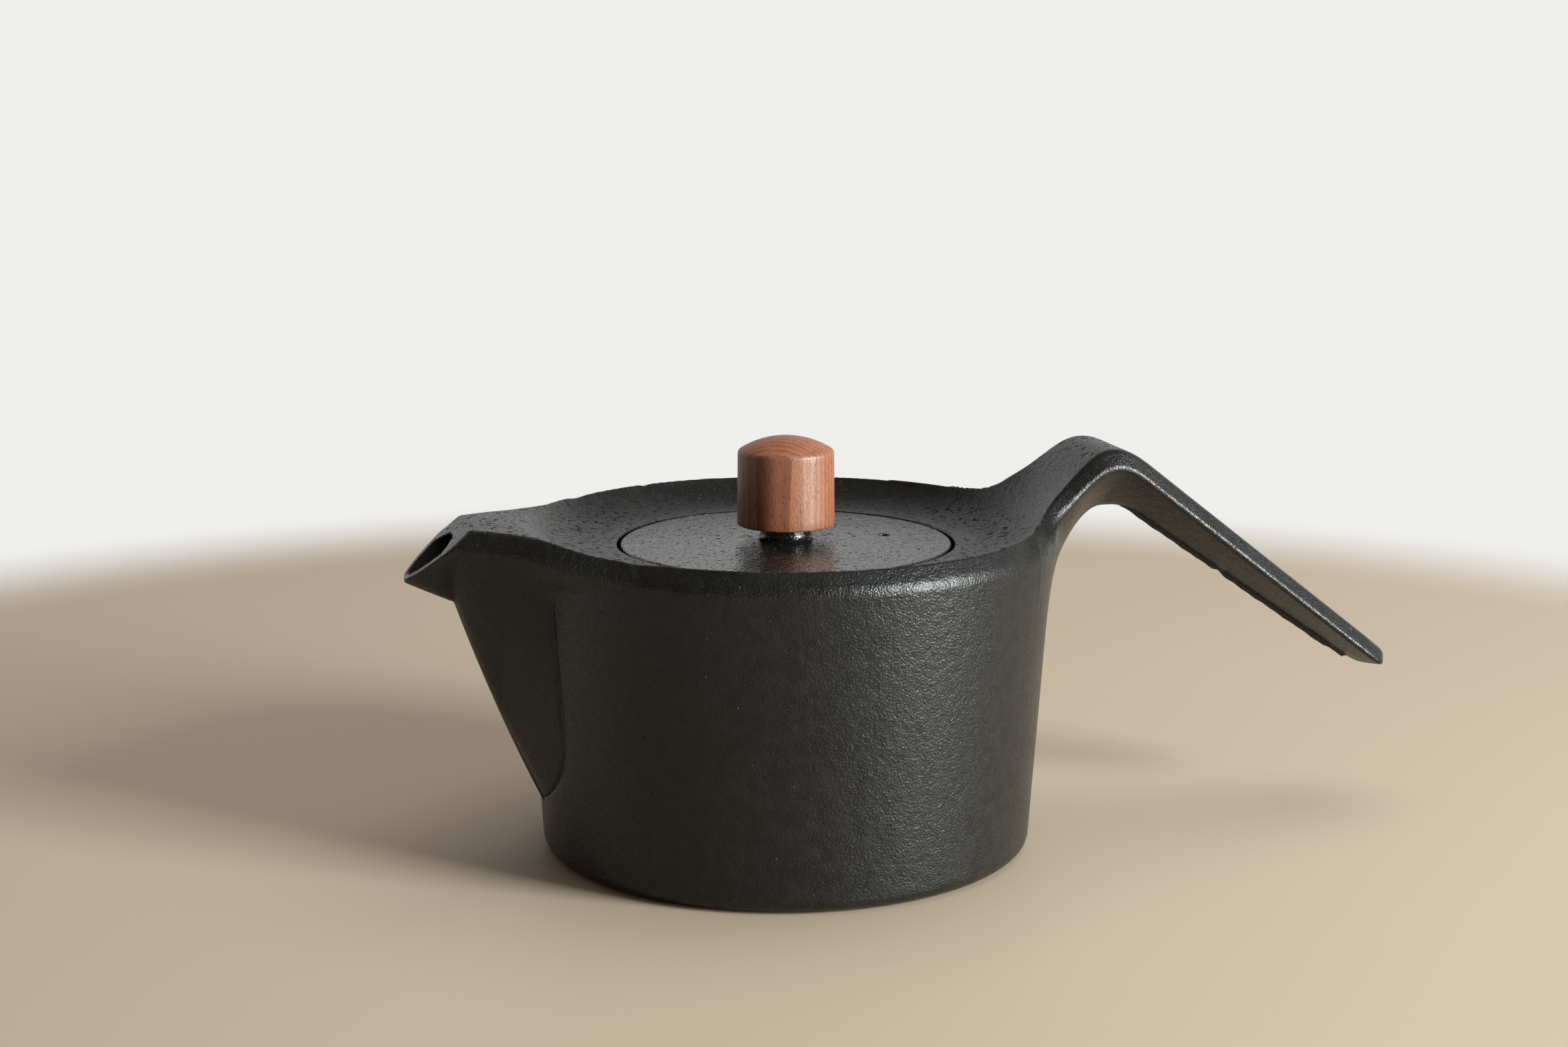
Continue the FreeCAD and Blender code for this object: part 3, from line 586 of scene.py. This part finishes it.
def net_points(values, cells, origin, step):
    """For each crossed cube, the mean of the crossings on its twelve edges."""
    corner = [values[tuple((cells + c).T)] for c in CORNERS]
    total, count = np.zeros((len(cells), 3)), np.zeros(len(cells))
    for a, b in EDGES:
        crossed = (corner[a] < 0) != (corner[b] < 0)
        gap = np.where(crossed, corner[a] - corner[b], 1.0)
        t = np.where(crossed, corner[a] / gap, 0.0)[:, None]
        total += (CORNERS[a] + t * (CORNERS[b] - CORNERS[a])) * crossed[:, None]
        count += crossed
    return origin + step * (cells + total / count[:, None])


def net_faces(inside, number):
    """One quad for each crossed grid edge, turned so that it faces away from the inside."""
    faces = []
    for axis in range(3):
        u, v = (axis + 1) % 3, (axis + 2) % 3
        here = np.moveaxis(inside, (axis, u, v), (0, 1, 2))
        label = np.moveaxis(number, (axis, u, v), (0, 1, 2))
        start, end = here[:-1, 1:-1, 1:-1], here[1:, 1:-1, 1:-1]
        ring = np.stack([label[:, :-1, :-1], label[:, 1:, :-1], label[:, 1:, 1:], label[:, :-1, 1:]], -1)
        faces.append(ring[start & ~end])
        faces.append(ring[end & ~start][:, ::-1])
    return np.concatenate(faces)


def surface_net(field, low, high, step):
    """Points and quads of the surface where the field is zero, on a grid with y = 0 in its middle."""
    half = np.arange(0, high[1] + step, step)
    axes = [np.arange(low[0], high[0], step), np.concatenate([-half[:0:-1], half]),
            np.arange(low[2], high[2], step)]
    low = [axis[0] for axis in axes]
    values = sample(field, axes)
    inside = values < 0
    size = [n - 1 for n in inside.shape]
    filled = sum(inside[i:i + size[0], j:j + size[1], k:k + size[2]].astype(np.int8)
                 for i, j, k in CORNERS)
    cells = np.argwhere((filled > 0) & (filled < 8))
    number = np.full(size, -1, np.int64)
    number[tuple(cells.T)] = np.arange(len(cells))
    return net_points(values, cells, np.array(low), step), net_faces(inside, number)


def gradient(field, p, step=0.12):
    """Direction in which the field grows, from values a small step each side of the points."""
    shifts = np.eye(3) * step
    parts = [field(*(p + s).T) - field(*(p - s).T) for s in shifts]
    return np.stack(parts, axis=1) / (2 * step)


def settle(field, p, times=3, longest=0.3):
    """Slides points onto the surface: each goes back by its distance along the slope."""
    for _ in range(times):
        g = gradient(field, p)
        move = field(*p.T) / np.maximum((g ** 2).sum(1), 0.25)
        p = p - np.clip(move, -longest, longest)[:, None] * g
    return p


# %% [markdown]
# The net is even everywhere, though a plain wall needs far fewer faces than a rim. Decimate thins it, and
# afterwards the points settle on the surface again. The normals come from the field itself, so the thinned
# walls still shade as smooth iron.

# %% The casting's mesh
NET_STEP = 0.7
CASTING_LOW, CASTING_HIGH = (-95.0, -67.0, -1.5), (161.0, 67.0, 98.0)
CASTING_FACES = 185000


def thinned(points, quads, wanted):
    """The mesh with about the wanted number of triangles, by Blender's Decimate."""
    mesh = bpy.data.meshes.new("net")
    mesh.from_pydata(points * MM, [], quads.tolist())
    helper = placed("net", mesh)
    decimate = helper.modifiers.new("thin", "DECIMATE")
    decimate.ratio = wanted / (2 * len(quads))
    graph = bpy.context.evaluated_depsgraph_get()
    worked = helper.evaluated_get(graph)
    thin = worked.to_mesh()
    out = np.empty(len(thin.vertices) * 3)
    thin.vertices.foreach_get("co", out)
    thin.calc_loop_triangles()
    triangles = np.empty(len(thin.loop_triangles) * 3, np.int32)
    thin.loop_triangles.foreach_get("vertices", triangles)
    worked.to_mesh_clear()
    bpy.data.objects.remove(helper)
    bpy.data.meshes.remove(mesh)
    return out.reshape(-1, 3) / MM, triangles.reshape(-1, 3)


def shade_from(piece, field, points):
    """Gives each point of the mesh the normal of the field's surface."""
    piece.data.normals_split_custom_set_from_vertices(unit(gradient(field, points)))


points, quads = surface_net(casting, CASTING_LOW, CASTING_HIGH, NET_STEP)
points = settle(casting, points, times=1)
points, triangles = thinned(points, quads, CASTING_FACES)
points = settle(chipped, points, times=3)
pot_skin = add_piece("pot_skin", points, triangles, "pot", "iron", ["pot_casting"])
shade_from(pot_skin, chipped, points)

# %% [markdown]
# ## The lid
# The lid is a second, small casting: a plate with soft edges, a skirt underneath that centres it in the
# strainer, a short neck for the knob and a vent hole. The same field and net make it.

# %% Lid
LID_RADIUS, LID_UNDERSIDE, LID_ROUND = 40.5, 71.8, 0.7
SKIRT_MIDDLE, SKIRT_HALF, SKIRT_DEPTH = 32.2, 1.4, 5.0
NECK_RADIUS, KNOB_BASE, SCREW_HOLE = 6.2, 79.3, 2.3
VENT_AT, VENT_RADIUS, LID_CROWN = 25.0, 1.4, 0.9
LID_LOW, LID_HIGH = (-42.0, -42.0, 65.5), (42.0, 42.0, 81.0)
LID_STEP, LID_FACES = 0.5, 90000


def lid(x, y, z):
    """Plate, skirt and neck joined with fillets, less the screw's hole and the vent."""
    radius = np.hypot(x, y)
    top = z - LID_LEVEL - LID_CROWN * ease((LID_RADIUS - radius) / LID_RADIUS)
    plate = round_max(round_max(radius - LID_RADIUS, top, LID_ROUND), LID_UNDERSIDE - z, 0.4)
    skirt = round_max(np.abs(radius - SKIRT_MIDDLE) - SKIRT_HALF, LID_UNDERSIDE - SKIRT_DEPTH - z, 0.5)
    skirt = np.maximum(skirt, z - LID_LEVEL + 1.0)
    neck = np.maximum(round_max(radius - NECK_RADIUS, z - KNOB_BASE, 0.3), LID_UNDERSIDE + 1.0 - z)
    iron = round_min(round_min(plate, skirt, 0.6), neck, 1.6)
    holes = np.minimum(radius - SCREW_HOLE, np.hypot(x - VENT_AT, y) - VENT_RADIUS)
    return round_max(iron, -holes, 0.35)


points, quads = surface_net(lid, LID_LOW, LID_HIGH, LID_STEP)
points, triangles = thinned(settle(lid, points, times=1), quads, LID_FACES)
points = settle(lid, points, times=2)
lid_skin = add_piece("lid_skin", points, triangles, "lid", "iron", ["lid_plate"])
shade_from(lid_skin, lid, points)

# %% [markdown]
# ## Wooden knob
# The knob is a short turned cylinder with a low dome and a soft shoulder. A profile carried round the axis
# gives just that. Its points are close together on the shoulder, where the light bends most.

# %% Knob
KNOB_TOP = 101.0
KNOB_FOOT_RADIUS, KNOB_RADIUS, KNOB_FOOT_ROUND = 11.9, 11.75, 0.4
DOME_BALL, SHOULDER_ARC, SHOULDER_LEAN = 21.3, 1.3, 0.54
INSERT_RADIUS, INSERT_TOP = 3.6, 90.3
AROUND = 144


def knob_profile():
    """From the bore round the outside to the axis: foot, side, shoulder arc, dome of a large ball."""
    def dome_height(radius):
        return KNOB_TOP - DOME_BALL + np.sqrt(DOME_BALL ** 2 - radius ** 2)

    shoulder_at = KNOB_RADIUS - SHOULDER_ARC
    touch = shoulder_at + SHOULDER_ARC * math.sin(SHOULDER_LEAN)
    centre = dome_height(touch) - SHOULDER_ARC * math.cos(SHOULDER_LEAN)
    foot = np.linspace(0, np.pi / 2, 5)
    foot = np.stack([KNOB_FOOT_RADIUS + KNOB_FOOT_ROUND * (np.sin(foot) - 1),
                     KNOB_BASE + KNOB_FOOT_ROUND * (1 - np.cos(foot))], 1)
    side = np.linspace(0.1, 0.95, 14)[:, None]
    side = foot[-1] + side * (np.array([KNOB_RADIUS, centre]) - foot[-1])
    arc = np.linspace(0, np.pi / 2 - SHOULDER_LEAN, 10)
    arc = np.stack([shoulder_at + SHOULDER_ARC * np.cos(arc), centre + SHOULDER_ARC * np.sin(arc)], 1)
    dome = np.linspace(touch, 0.02, 24)[1:]
    dome = np.stack([dome, dome_height(dome)], 1)
    bore = np.array([(0.02, INSERT_TOP), (INSERT_RADIUS, INSERT_TOP), (INSERT_RADIUS, KNOB_BASE)])
    return np.concatenate([bore, foot, side, arc, dome])


knob = add_piece("knob_turning", *turned(knob_profile(), AROUND), "lid", "knob_wood", ["lid_knob"])

# %% [markdown]
# ## Strainer
# The strainer hangs in the mouth: a pressed flange with a collar, a tube and a disc of woven wire, and a
# rolled hem that joins them. The sheet parts are turned profiles with rounded lips. The weave is real wire:
# every wire is a thin tube along a wave that goes over one neighbour and under the next.

# %% Strainer's pressed rings
BASKET_FLOOR, BASKET, COLLAR, FLANGE = 31.0, 35.0, 35.7, 40.5
COLLAR_FOOT, HEM_FOOT, HEM_TOP, HEM_INNER = 64.0, 30.3, 35.0, 31.0

rim_outline = rounded_profile(
    [(BASKET, COLLAR_FOOT), (COLLAR, COLLAR_FOOT), (COLLAR, LEDGE_HEIGHT), (FLANGE, LEDGE_HEIGHT),
     (FLANGE, LID_UNDERSIDE), (BASKET, LID_UNDERSIDE)],
    [0.3, 0.3, 0.5, 0.35, 0.35, 0.7])
strainer_ring = add_piece("strainer_ring", *turned(rim_outline, AROUND), "strainer", "stainless",
                          ["strainer_rim"])

hem_outline = rounded_profile(
    [(HEM_INNER, HEM_FOOT), (COLLAR, HEM_FOOT), (COLLAR, HEM_TOP), (BASKET, HEM_TOP),
     (BASKET, BASKET_FLOOR), (HEM_INNER, BASKET_FLOOR)],
    [0.3, 0.9, 0.3, 0.3, 0.3, 0.3])
strainer_foot = add_piece("strainer_foot", *turned(hem_outline, AROUND), "strainer", "stainless",
                          ["strainer_hem"])

# %% Woven wire
WIRE_RADIUS, WIRE_PITCH, WIRE_SIDES = 0.16, 1.1, 3
WEAVE_RADIUS, WEAVE_WAVE, BASE_WEAVE = 34.7, 0.14, 34.3


def tubes(paths, across, up, closed):
    """Thin tubes along many paths at once: round each path point, a small ring in the two given
    directions. Paths have the shape (wires, steps, 3)."""
    angle = np.arange(WIRE_SIDES) / WIRE_SIDES * 2 * np.pi
    ring = across[..., None, :] * np.cos(angle)[:, None] + up[..., None, :] * np.sin(angle)[:, None]
    points = paths[..., None, :] + WIRE_RADIUS * ring
    wires, steps = paths.shape[:2]
    one = grid_faces(steps, WIRE_SIDES, wrap_rows=closed, wrap_columns=True)
    shift = np.arange(wires)[:, None, None] * steps * WIRE_SIDES
    return points.reshape(-1, 3), (one[None] + shift).reshape(-1, 4)


def joined(one, other):
    """Two sets of points and faces as one."""
    return np.concatenate([one[0], other[0]]), np.concatenate([one[1], other[1] + len(one[0])])


def spokes(angle):
    """Outward directions at the given angles."""
    return np.stack([np.cos(angle), np.sin(angle), 0 * angle], -1)


def woven_tube():
    """Upright wires and hoops on a cylinder; each swings in and out by a cosine of the crossing count."""
    count = int(round(2 * np.pi * WEAVE_RADIUS / WIRE_PITCH / 2)) * 2
    rows = int((LID_UNDERSIDE - BASKET_FLOOR - 1.0) / WIRE_PITCH)
    low = BASKET_FLOOR + 0.8
    wire, step = np.arange(count)[:, None], np.arange(rows * 2 + 1)[None, :] / 2
    swing = WEAVE_WAVE * np.cos(np.pi * (step + wire))
    out = spokes(wire / count * 2 * np.pi + 0 * step)
    upright = out * (WEAVE_RADIUS + swing)[..., None]
    upright[..., 2] = low + step * WIRE_PITCH
    uprights = tubes(upright, out, out[..., [1, 0, 2]] * (-1, 1, 1), closed=False)
    hoop, turn = np.arange(rows)[:, None], np.arange(count * 2)[None, :] / 2
    swing = -WEAVE_WAVE * np.cos(np.pi * (turn + hoop))
    out = spokes(turn / count * 2 * np.pi + 0 * hoop)
    hoops = out * (WEAVE_RADIUS + swing)[..., None]
    hoops[..., 2] = low + hoop * WIRE_PITCH
    return joined(uprights, tubes(hoops, out, np.zeros_like(out) + (0, 0, 1), closed=True))


def woven_disc(radius, height):
    """Two families of straight wires that swing up and down, kept inside a circle."""
    rows = int(radius / WIRE_PITCH)
    wire, step = np.arange(-rows, rows + 1)[:, None], np.arange(-2 * rows, 2 * rows + 1)[None, :] / 2
    swing = WEAVE_WAVE * np.cos(np.pi * (step + wire))
    first = np.stack([step + 0 * wire, wire + 0 * step, 0 * swing], -1) * WIRE_PITCH
    second = first[..., [1, 0, 2]].copy()
    first[..., 2], second[..., 2] = height + swing, height - swing
    upward, sideways = np.zeros_like(first) + (0, 0, 1), np.zeros_like(first) + (0, 1, 0)
    crossing, turned_in = tubes(second, sideways[..., [1, 0, 2]], upward, closed=False)
    points, faces = joined(tubes(first, sideways, upward, closed=False), (crossing, turned_in[:, ::-1]))
    kept = (np.hypot(points[:, 0], points[:, 1])[faces] < radius).all(axis=1)
    used, faces = np.unique(faces[kept], return_inverse=True)
    return points[used], faces.reshape(-1, 4)


strainer_weave = add_piece("strainer_weave", *woven_tube(), "strainer", "strainer_mesh", ["strainer_wall"])
strainer_base = add_piece("strainer_base", *woven_disc(BASE_WEAVE, BASKET_FLOOR + 0.3), "strainer",
                          "strainer_mesh", ["strainer_floor"])

# %% [markdown]
# ## Finishes
# Materials read Object coordinates, so the pattern stays with the piece from every side. Effects that
# several finishes share are node groups.

# %% Node helpers
def new_material(name):
    material = bpy.data.materials.new(name)
    material.use_nodes = True
    material.node_tree.nodes.clear()
    return material, material.node_tree


def node(tree, kind, links=None, **settings):
    """A shader node with its settings, its input values and its input links."""
    made = tree.nodes.new("ShaderNode" + kind)
    for key, value in settings.items():
        setattr(made, key, value)
    for key, value in (links or {}).items():
        socket = made.inputs[key]
        if isinstance(value, bpy.types.NodeSocket):
            tree.links.new(value, socket)
        else:
            socket.default_value = value
    return made


def math_node(tree, operation, a, b=0.0, c=0.0):
    return node(tree, "Math", {0: a, 1: b, 2: c}, operation=operation).outputs[0]


def span(tree, value, low, high, to_low=0.0, to_high=1.0):
    """Maps one range of values to another, smoothly, and stays at the ends outside it."""
    return node(tree, "MapRange", {0: value, 1: low, 2: high, 3: to_low, 4: to_high},
                interpolation_type="SMOOTHSTEP").outputs[0]


def noise(tree, vector, scale, detail=2.0, roughness=0.5):
    return node(tree, "TexNoise", {"Vector": vector, "Scale": scale, "Detail": detail,
                                             "Roughness": roughness}).outputs["Fac"]


def mix_colour(tree, share, a, b):
    a, b = ((*tone, 1.0) if isinstance(tone, tuple) else tone for tone in (a, b))
    return node(tree, "Mix", {"Factor": share, 6: a, 7: b}, data_type="RGBA").outputs[2]


FLOAT, VECTOR = "NodeSocketFloat", "NodeSocketVector"


def new_group(name, inputs, outputs):
    """An empty node group with named sockets, and its input and output nodes. Outputs are numbers."""
    group = bpy.data.node_groups.new(name, "ShaderNodeTree")
    for title, kind, default in inputs:
        socket = group.interface.new_socket(title, in_out="INPUT", socket_type=kind)
        if default is not None:
            socket.default_value = default
    for title in outputs:
        group.interface.new_socket(title, in_out="OUTPUT", socket_type=FLOAT)
    return group, group.nodes.new("NodeGroupInput"), group.nodes.new("NodeGroupOutput")


def place_group(tree, group, values):
    return node(tree, "Group", values, node_tree=group)


def skin_with(tree, values):
    """The Principled shader with the given inputs, as the material's surface."""
    shader = node(tree, "BsdfPrincipled", values)
    node(tree, "OutputMaterial", {0: shader.outputs[0]})


def dress(objects, material):
    for item in objects:
        item.data.materials.clear()
        item.data.materials.append(material)


# %% [markdown]
# Sand leaves a fine orange peel on cast iron, with small pits where a grain broke out, and the black
# coating lies over it a little unevenly. One group makes grain, pits and mottling from noise at several
# scales. Its heights go to the bump, and its masks to the colour and the roughness.

# %% Group: sand-cast skin
sand_skin, given, result = new_group(
    "sand_skin",
    [("Place", VECTOR, None), ("Grain per metre", FLOAT, 1700.0), ("Pits", FLOAT, 1.0)],
    ["Height", "Pit mask", "Dull", "Mottle", "Speck"])
place, grain_scale = given.outputs["Place"], given.outputs["Grain per metre"]
peel = noise(sand_skin, place, grain_scale, detail=2.0, roughness=0.6)
grains = node(sand_skin, "TexVoronoi",
              {"Vector": place, "Scale": grain_scale, "Smoothness": 0.6}, feature="SMOOTH_F1")
grains = grains.outputs["Distance"]
broad = noise(sand_skin, place, 450.0, detail=1.0)
pit_noise = noise(sand_skin, place, 680.0, detail=2.0)
pit_noise = math_node(sand_skin, "MULTIPLY_ADD", given.outputs["Pits"], 0.14, pit_noise)
pit_mask = span(sand_skin, pit_noise, 0.72, 0.78)
mottle = noise(sand_skin, place, 260.0, detail=4.0, roughness=0.65)
speck = noise(sand_skin, place, math_node(sand_skin, "MULTIPLY", grain_scale, 2.6), detail=0.0)
height = math_node(sand_skin, "MULTIPLY_ADD", broad, 0.9, math_node(sand_skin, "MULTIPLY", peel, 0.6))
height = math_node(sand_skin, "MULTIPLY_ADD", grains, -0.5, height)
height = math_node(sand_skin, "MULTIPLY_ADD", pit_mask, -0.8, height)
dull = math_node(sand_skin, "MULTIPLY_ADD", pit_mask, 0.42, span(sand_skin, peel, 0.32, 0.62, 0.16, 0.0))
for value, socket in zip((height, pit_mask, dull, mottle, speck), result.inputs):
    sand_skin.links.new(value, socket)


# %% Iron
def iron_finish(name, grain, pits, bump, dark, light, smooth, rough, shine):
    """Black iron: mottled charcoal with grain everywhere and most pits on the faces that look up, where
    the sand of the mould's upper half hung."""
    material, tree = new_material(name)
    coordinates = node(tree, "TexCoord")
    up = node(tree, "SeparateXYZ", {0: coordinates.outputs["Normal"]}).outputs[2]
    skin = place_group(tree, sand_skin, {"Place": coordinates.outputs["Object"], "Grain per metre": grain,
                                         "Pits": span(tree, up, 0.55, 0.95, 0.0, pits)})
    tone = span(tree, skin.outputs["Mottle"], 0.35, 0.65)
    colour = mix_colour(tree, tone, dark, light)
    colour = mix_colour(tree, skin.outputs["Pit mask"], colour, tuple(0.5 * v for v in dark))
    roughness = span(tree, skin.outputs["Speck"], 0.3, 0.75, rough, smooth)
    roughness = math_node(tree, "ADD", roughness, skin.outputs["Dull"])
    relief = node(tree, "Bump", {"Height": skin.outputs["Height"], "Strength": 1.0,
                                           "Distance": bump * MM})
    skin_with(tree, {"Base Color": colour, "Roughness": roughness, "Metallic": 0.0,
                     "Specular IOR Level": shine, "Normal": relief.outputs[0]})
    return material


pot_iron = iron_finish("pot_iron", 2000.0, 1.0, 0.17, (0.0046, 0.0042, 0.0038), (0.0080, 0.0075, 0.0070),
                       0.21, 0.35, 0.36)
lid_iron = iron_finish("lid_iron", 1500.0, 0.72, 0.18, (0.0060, 0.0056, 0.0052), (0.0095, 0.0090, 0.0085),
                       0.11, 0.20, 0.78)
dress([pot_skin], pot_iron)
dress([lid_skin], lid_iron)

# %% [markdown]
# The knob is a close-grained reddish brown wood, turned with the grain upright. Growth rings are distances
# from a line well outside the knob, so they show as arcs on the dome and as stripes down the side. Pores
# are noise stretched along the grain.

# %% Wood
def wood_finish(name):
    """Rings mix two browns, pores and fibres darken them, and both leave a slight relief."""
    material, tree = new_material(name)
    place = node(tree, "TexCoord").outputs["Object"]
    bent = node(tree, "Mapping", {"Vector": place, "Location": (0.021, 0.034, 0.0),
                                            "Rotation": (0.06, -0.04, 0.0), "Scale": (1.0, 1.0, 0.12)})
    sway = noise(tree, bent.outputs[0], 70.0, detail=3.0)
    apart = node(tree, "SeparateXYZ", {0: bent.outputs[0]})
    across = node(tree, "CombineXYZ", {0: apart.outputs[0], 1: apart.outputs[1]})
    reach = node(tree, "VectorMath", {0: across.outputs[0]}, operation="LENGTH").outputs["Value"]
    wavy = math_node(tree, "MULTIPLY_ADD", sway, 0.0035, reach)
    ring = math_node(tree, "FRACT", math_node(tree, "MULTIPLY", wavy, 560.0))
    ring = span(tree, ring, 0.1, 0.95)
    along = node(tree, "Mapping", {"Vector": place, "Scale": (1.0, 1.0, 0.11)})
    fibre = noise(tree, along.outputs[0], 2600.0, detail=3.0, roughness=0.6)
    short = node(tree, "Mapping", {"Vector": place, "Scale": (1.0, 1.0, 0.2)})
    pores = span(tree, noise(tree, short.outputs[0], 4600.0, detail=1.0), 0.56, 0.66)
    patch = noise(tree, along.outputs[0], 260.0, detail=2.0)
    colour = mix_colour(tree, ring, (0.25, 0.085, 0.037), (0.145, 0.043, 0.018))
    colour = mix_colour(tree, span(tree, patch, 0.35, 0.7, 0.0, 0.45), colour, (0.29, 0.105, 0.048))
    colour = mix_colour(tree, span(tree, fibre, 0.45, 0.75, 0.0, 0.5), colour, (0.12, 0.036, 0.016))
    colour = mix_colour(tree, math_node(tree, "MULTIPLY", pores, 0.7), colour, (0.055, 0.018, 0.009))
    relief = math_node(tree, "MULTIPLY_ADD", pores, -0.8, fibre)
    bump = node(tree, "Bump", {"Height": relief, "Strength": 0.25, "Distance": 0.0001})
    roughness = span(tree, fibre, 0.3, 0.75, 0.42, 0.56)
    skin_with(tree, {"Base Color": colour, "Roughness": roughness, "Normal": bump.outputs[0],
                     "Specular IOR Level": 0.6})
    return material


dress([knob], wood_finish("knob_wood"))

# %% [markdown]
# The small metal parts are bright: pressed stainless steel and turned brass. One group gives fine drawn
# lines and faint cloudiness, and each metal takes them with its own colour.

# %% Bright metals
drawn_lines, given, result = new_group(
    "drawn_lines",
    [("Place", VECTOR, None), ("Stretch", VECTOR, (1.0, 1.0, 12.0))],
    ["Line", "Cloud"])
scaled = node(drawn_lines, "VectorMath",
              {0: given.outputs["Place"], 1: given.outputs["Stretch"]}, operation="MULTIPLY")
drawn_lines.links.new(noise(drawn_lines, scaled.outputs[0], 420.0, detail=3.0), result.inputs["Line"])
drawn_lines.links.new(noise(drawn_lines, given.outputs["Place"], 130.0), result.inputs["Cloud"])


def bright_finish(name, dark, light, smooth, rough, stretch):
    """Bare metal whose lines vary the gloss and whose cloudiness varies the colour."""
    material, tree = new_material(name)
    place = node(tree, "TexCoord").outputs["Object"]
    lines = place_group(tree, drawn_lines, {"Place": place, "Stretch": stretch})
    colour = mix_colour(tree, span(tree, lines.outputs["Cloud"], 0.35, 0.65), dark, light)
    roughness = span(tree, lines.outputs["Line"], 0.3, 0.7, smooth, rough)
    bump = node(tree, "Bump", {"Height": lines.outputs["Line"], "Strength": 0.15,
                                         "Distance": 0.00005})
    skin_with(tree, {"Base Color": colour, "Roughness": roughness, "Metallic": 1.0,
                     "Normal": bump.outputs[0]})
    return material


steel = bright_finish("pressed_steel", (0.50, 0.50, 0.50), (0.62, 0.61, 0.60), 0.22, 0.36, (1.0, 1.0, 12.0))
wire = bright_finish("woven_wire", (0.46, 0.46, 0.46), (0.58, 0.57, 0.56), 0.28, 0.42, (1.0, 1.0, 1.0))
brass = bright_finish("turned_brass", (0.60, 0.42, 0.18), (0.70, 0.52, 0.25), 0.25, 0.40, (1.0, 1.0, 14.0))
dress([strainer_ring, strainer_foot, nodes["knob_screw"], nodes["screw_washer"]], steel)
dress([strainer_weave, strainer_base], wire)
dress([nodes["knob_insert"]], brass)

# %% [markdown]
# ## Floor and light
# The pot stands on a pale floor in soft light: a tall window in front on the right, a weak fill from above
# that leaves no reflection, and a room that is pale behind the pot and dim in front of it. Far away the
# floor fades into the room's tone.

# %% Room
WALL_TONE = (0.86, 0.86, 0.85)
FLOOR_FADE = (0.36, 0.47)
LAMPS_LOOK_AT = (0.0, 0.0, 0.05)


def shown_to_eye(tree):
    """One for rays that the viewer sees straight on, in a reflection or through a clear piece."""
    path = node(tree, "LightPath")
    shown = math_node(tree, "MAXIMUM", path.outputs["Is Camera Ray"], path.outputs["Is Glossy Ray"])
    return math_node(tree, "MAXIMUM", shown, path.outputs["Is Transmission Ray"])


def room():
    """The room's tone by direction: pale behind the pot, dim on the camera's side and overhead."""
    world = bpy.data.worlds.new("room")
    world.use_nodes = True
    bpy.context.scene.world = world
    tree = world.node_tree
    tree.nodes.clear()
    towards = node(tree, "TexCoord").outputs["Generated"]
    parts = node(tree, "SeparateXYZ", {0: towards})
    behind = span(tree, parts.outputs[1], -0.15, 0.75)
    level = span(tree, parts.outputs[2], 0.36, 0.70, 1.0, 0.0)
    pale = math_node(tree, "MULTIPLY", behind, level)
    right = span(tree, parts.outputs[0], -0.6, 0.9)
    near = mix_colour(tree, right, (0.120, 0.105, 0.095), (0.22, 0.22, 0.225))
    seen = mix_colour(tree, pale, near, WALL_TONE)
    light = mix_colour(tree, pale, (0.22, 0.20, 0.18), (0.50, 0.50, 0.50))
    back = node(tree, "Background", {"Color": mix_colour(tree, shown_to_eye(tree), light, seen)})
    node(tree, "OutputWorld", {0: back.outputs[0]})


def floor():
    """A wide disc, plain and pale, that turns into the room's tone in the distance."""
    rings, around = np.array([0.0005, 0.2, 0.4, 0.8, 1.6, 5.0]), 96
    profile = np.stack([rings, np.full(len(rings), -0.0002)], 1)
    points, faces = turned(profile, around, closed=False)
    mesh = bpy.data.meshes.new("floor")
    mesh.from_pydata(points, [], faces[:, ::-1].tolist())
    obj = placed("floor", mesh)
    material, tree = new_material("floor")
    place = node(tree, "TexCoord").outputs["Object"]
    reach = node(tree, "VectorMath", {0: place}, operation="LENGTH").outputs["Value"]
    tone = mix_colour(tree, noise(tree, place, 3.0), (0.35, 0.277, 0.208), (0.385, 0.307, 0.232))
    near = node(tree, "BsdfPrincipled", {"Base Color": tone, "Roughness": 0.6,
                                                   "Specular IOR Level": 0.3})
    far = node(tree, "Emission", {"Color": (*WALL_TONE, 1.0), "Strength": 1.0})
    share = math_node(tree, "MULTIPLY", span(tree, reach, *FLOOR_FADE), shown_to_eye(tree))
    mixed = node(tree, "MixShader", {0: share, 1: near.outputs[0], 2: far.outputs[0]})
    node(tree, "OutputMaterial", {0: mixed.outputs[0]})
    dress([obj], material)


def window(name, at, size, power, colour):
    """A soft area lamp at a place, turned towards the pot."""
    data = bpy.data.lights.new(name, "AREA")
    data.shape = "RECTANGLE"
    data.size, data.size_y = size
    data.energy = power
    data.color = colour
    lamp = placed(name, data)
    aim(lamp, at, Vector(LAMPS_LOOK_AT) - Vector(at))
    return lamp


room()
floor()
window("window", (0.95, -0.86, 0.42), (0.42, 0.84), 54.0, (0.92, 1.0, 0.98))
top_fill = window("top_fill", (0.3, 0.2, 1.4), (1.2, 1.2), 13.0, (1.0, 0.99, 0.97))
top_fill.visible_glossy = False
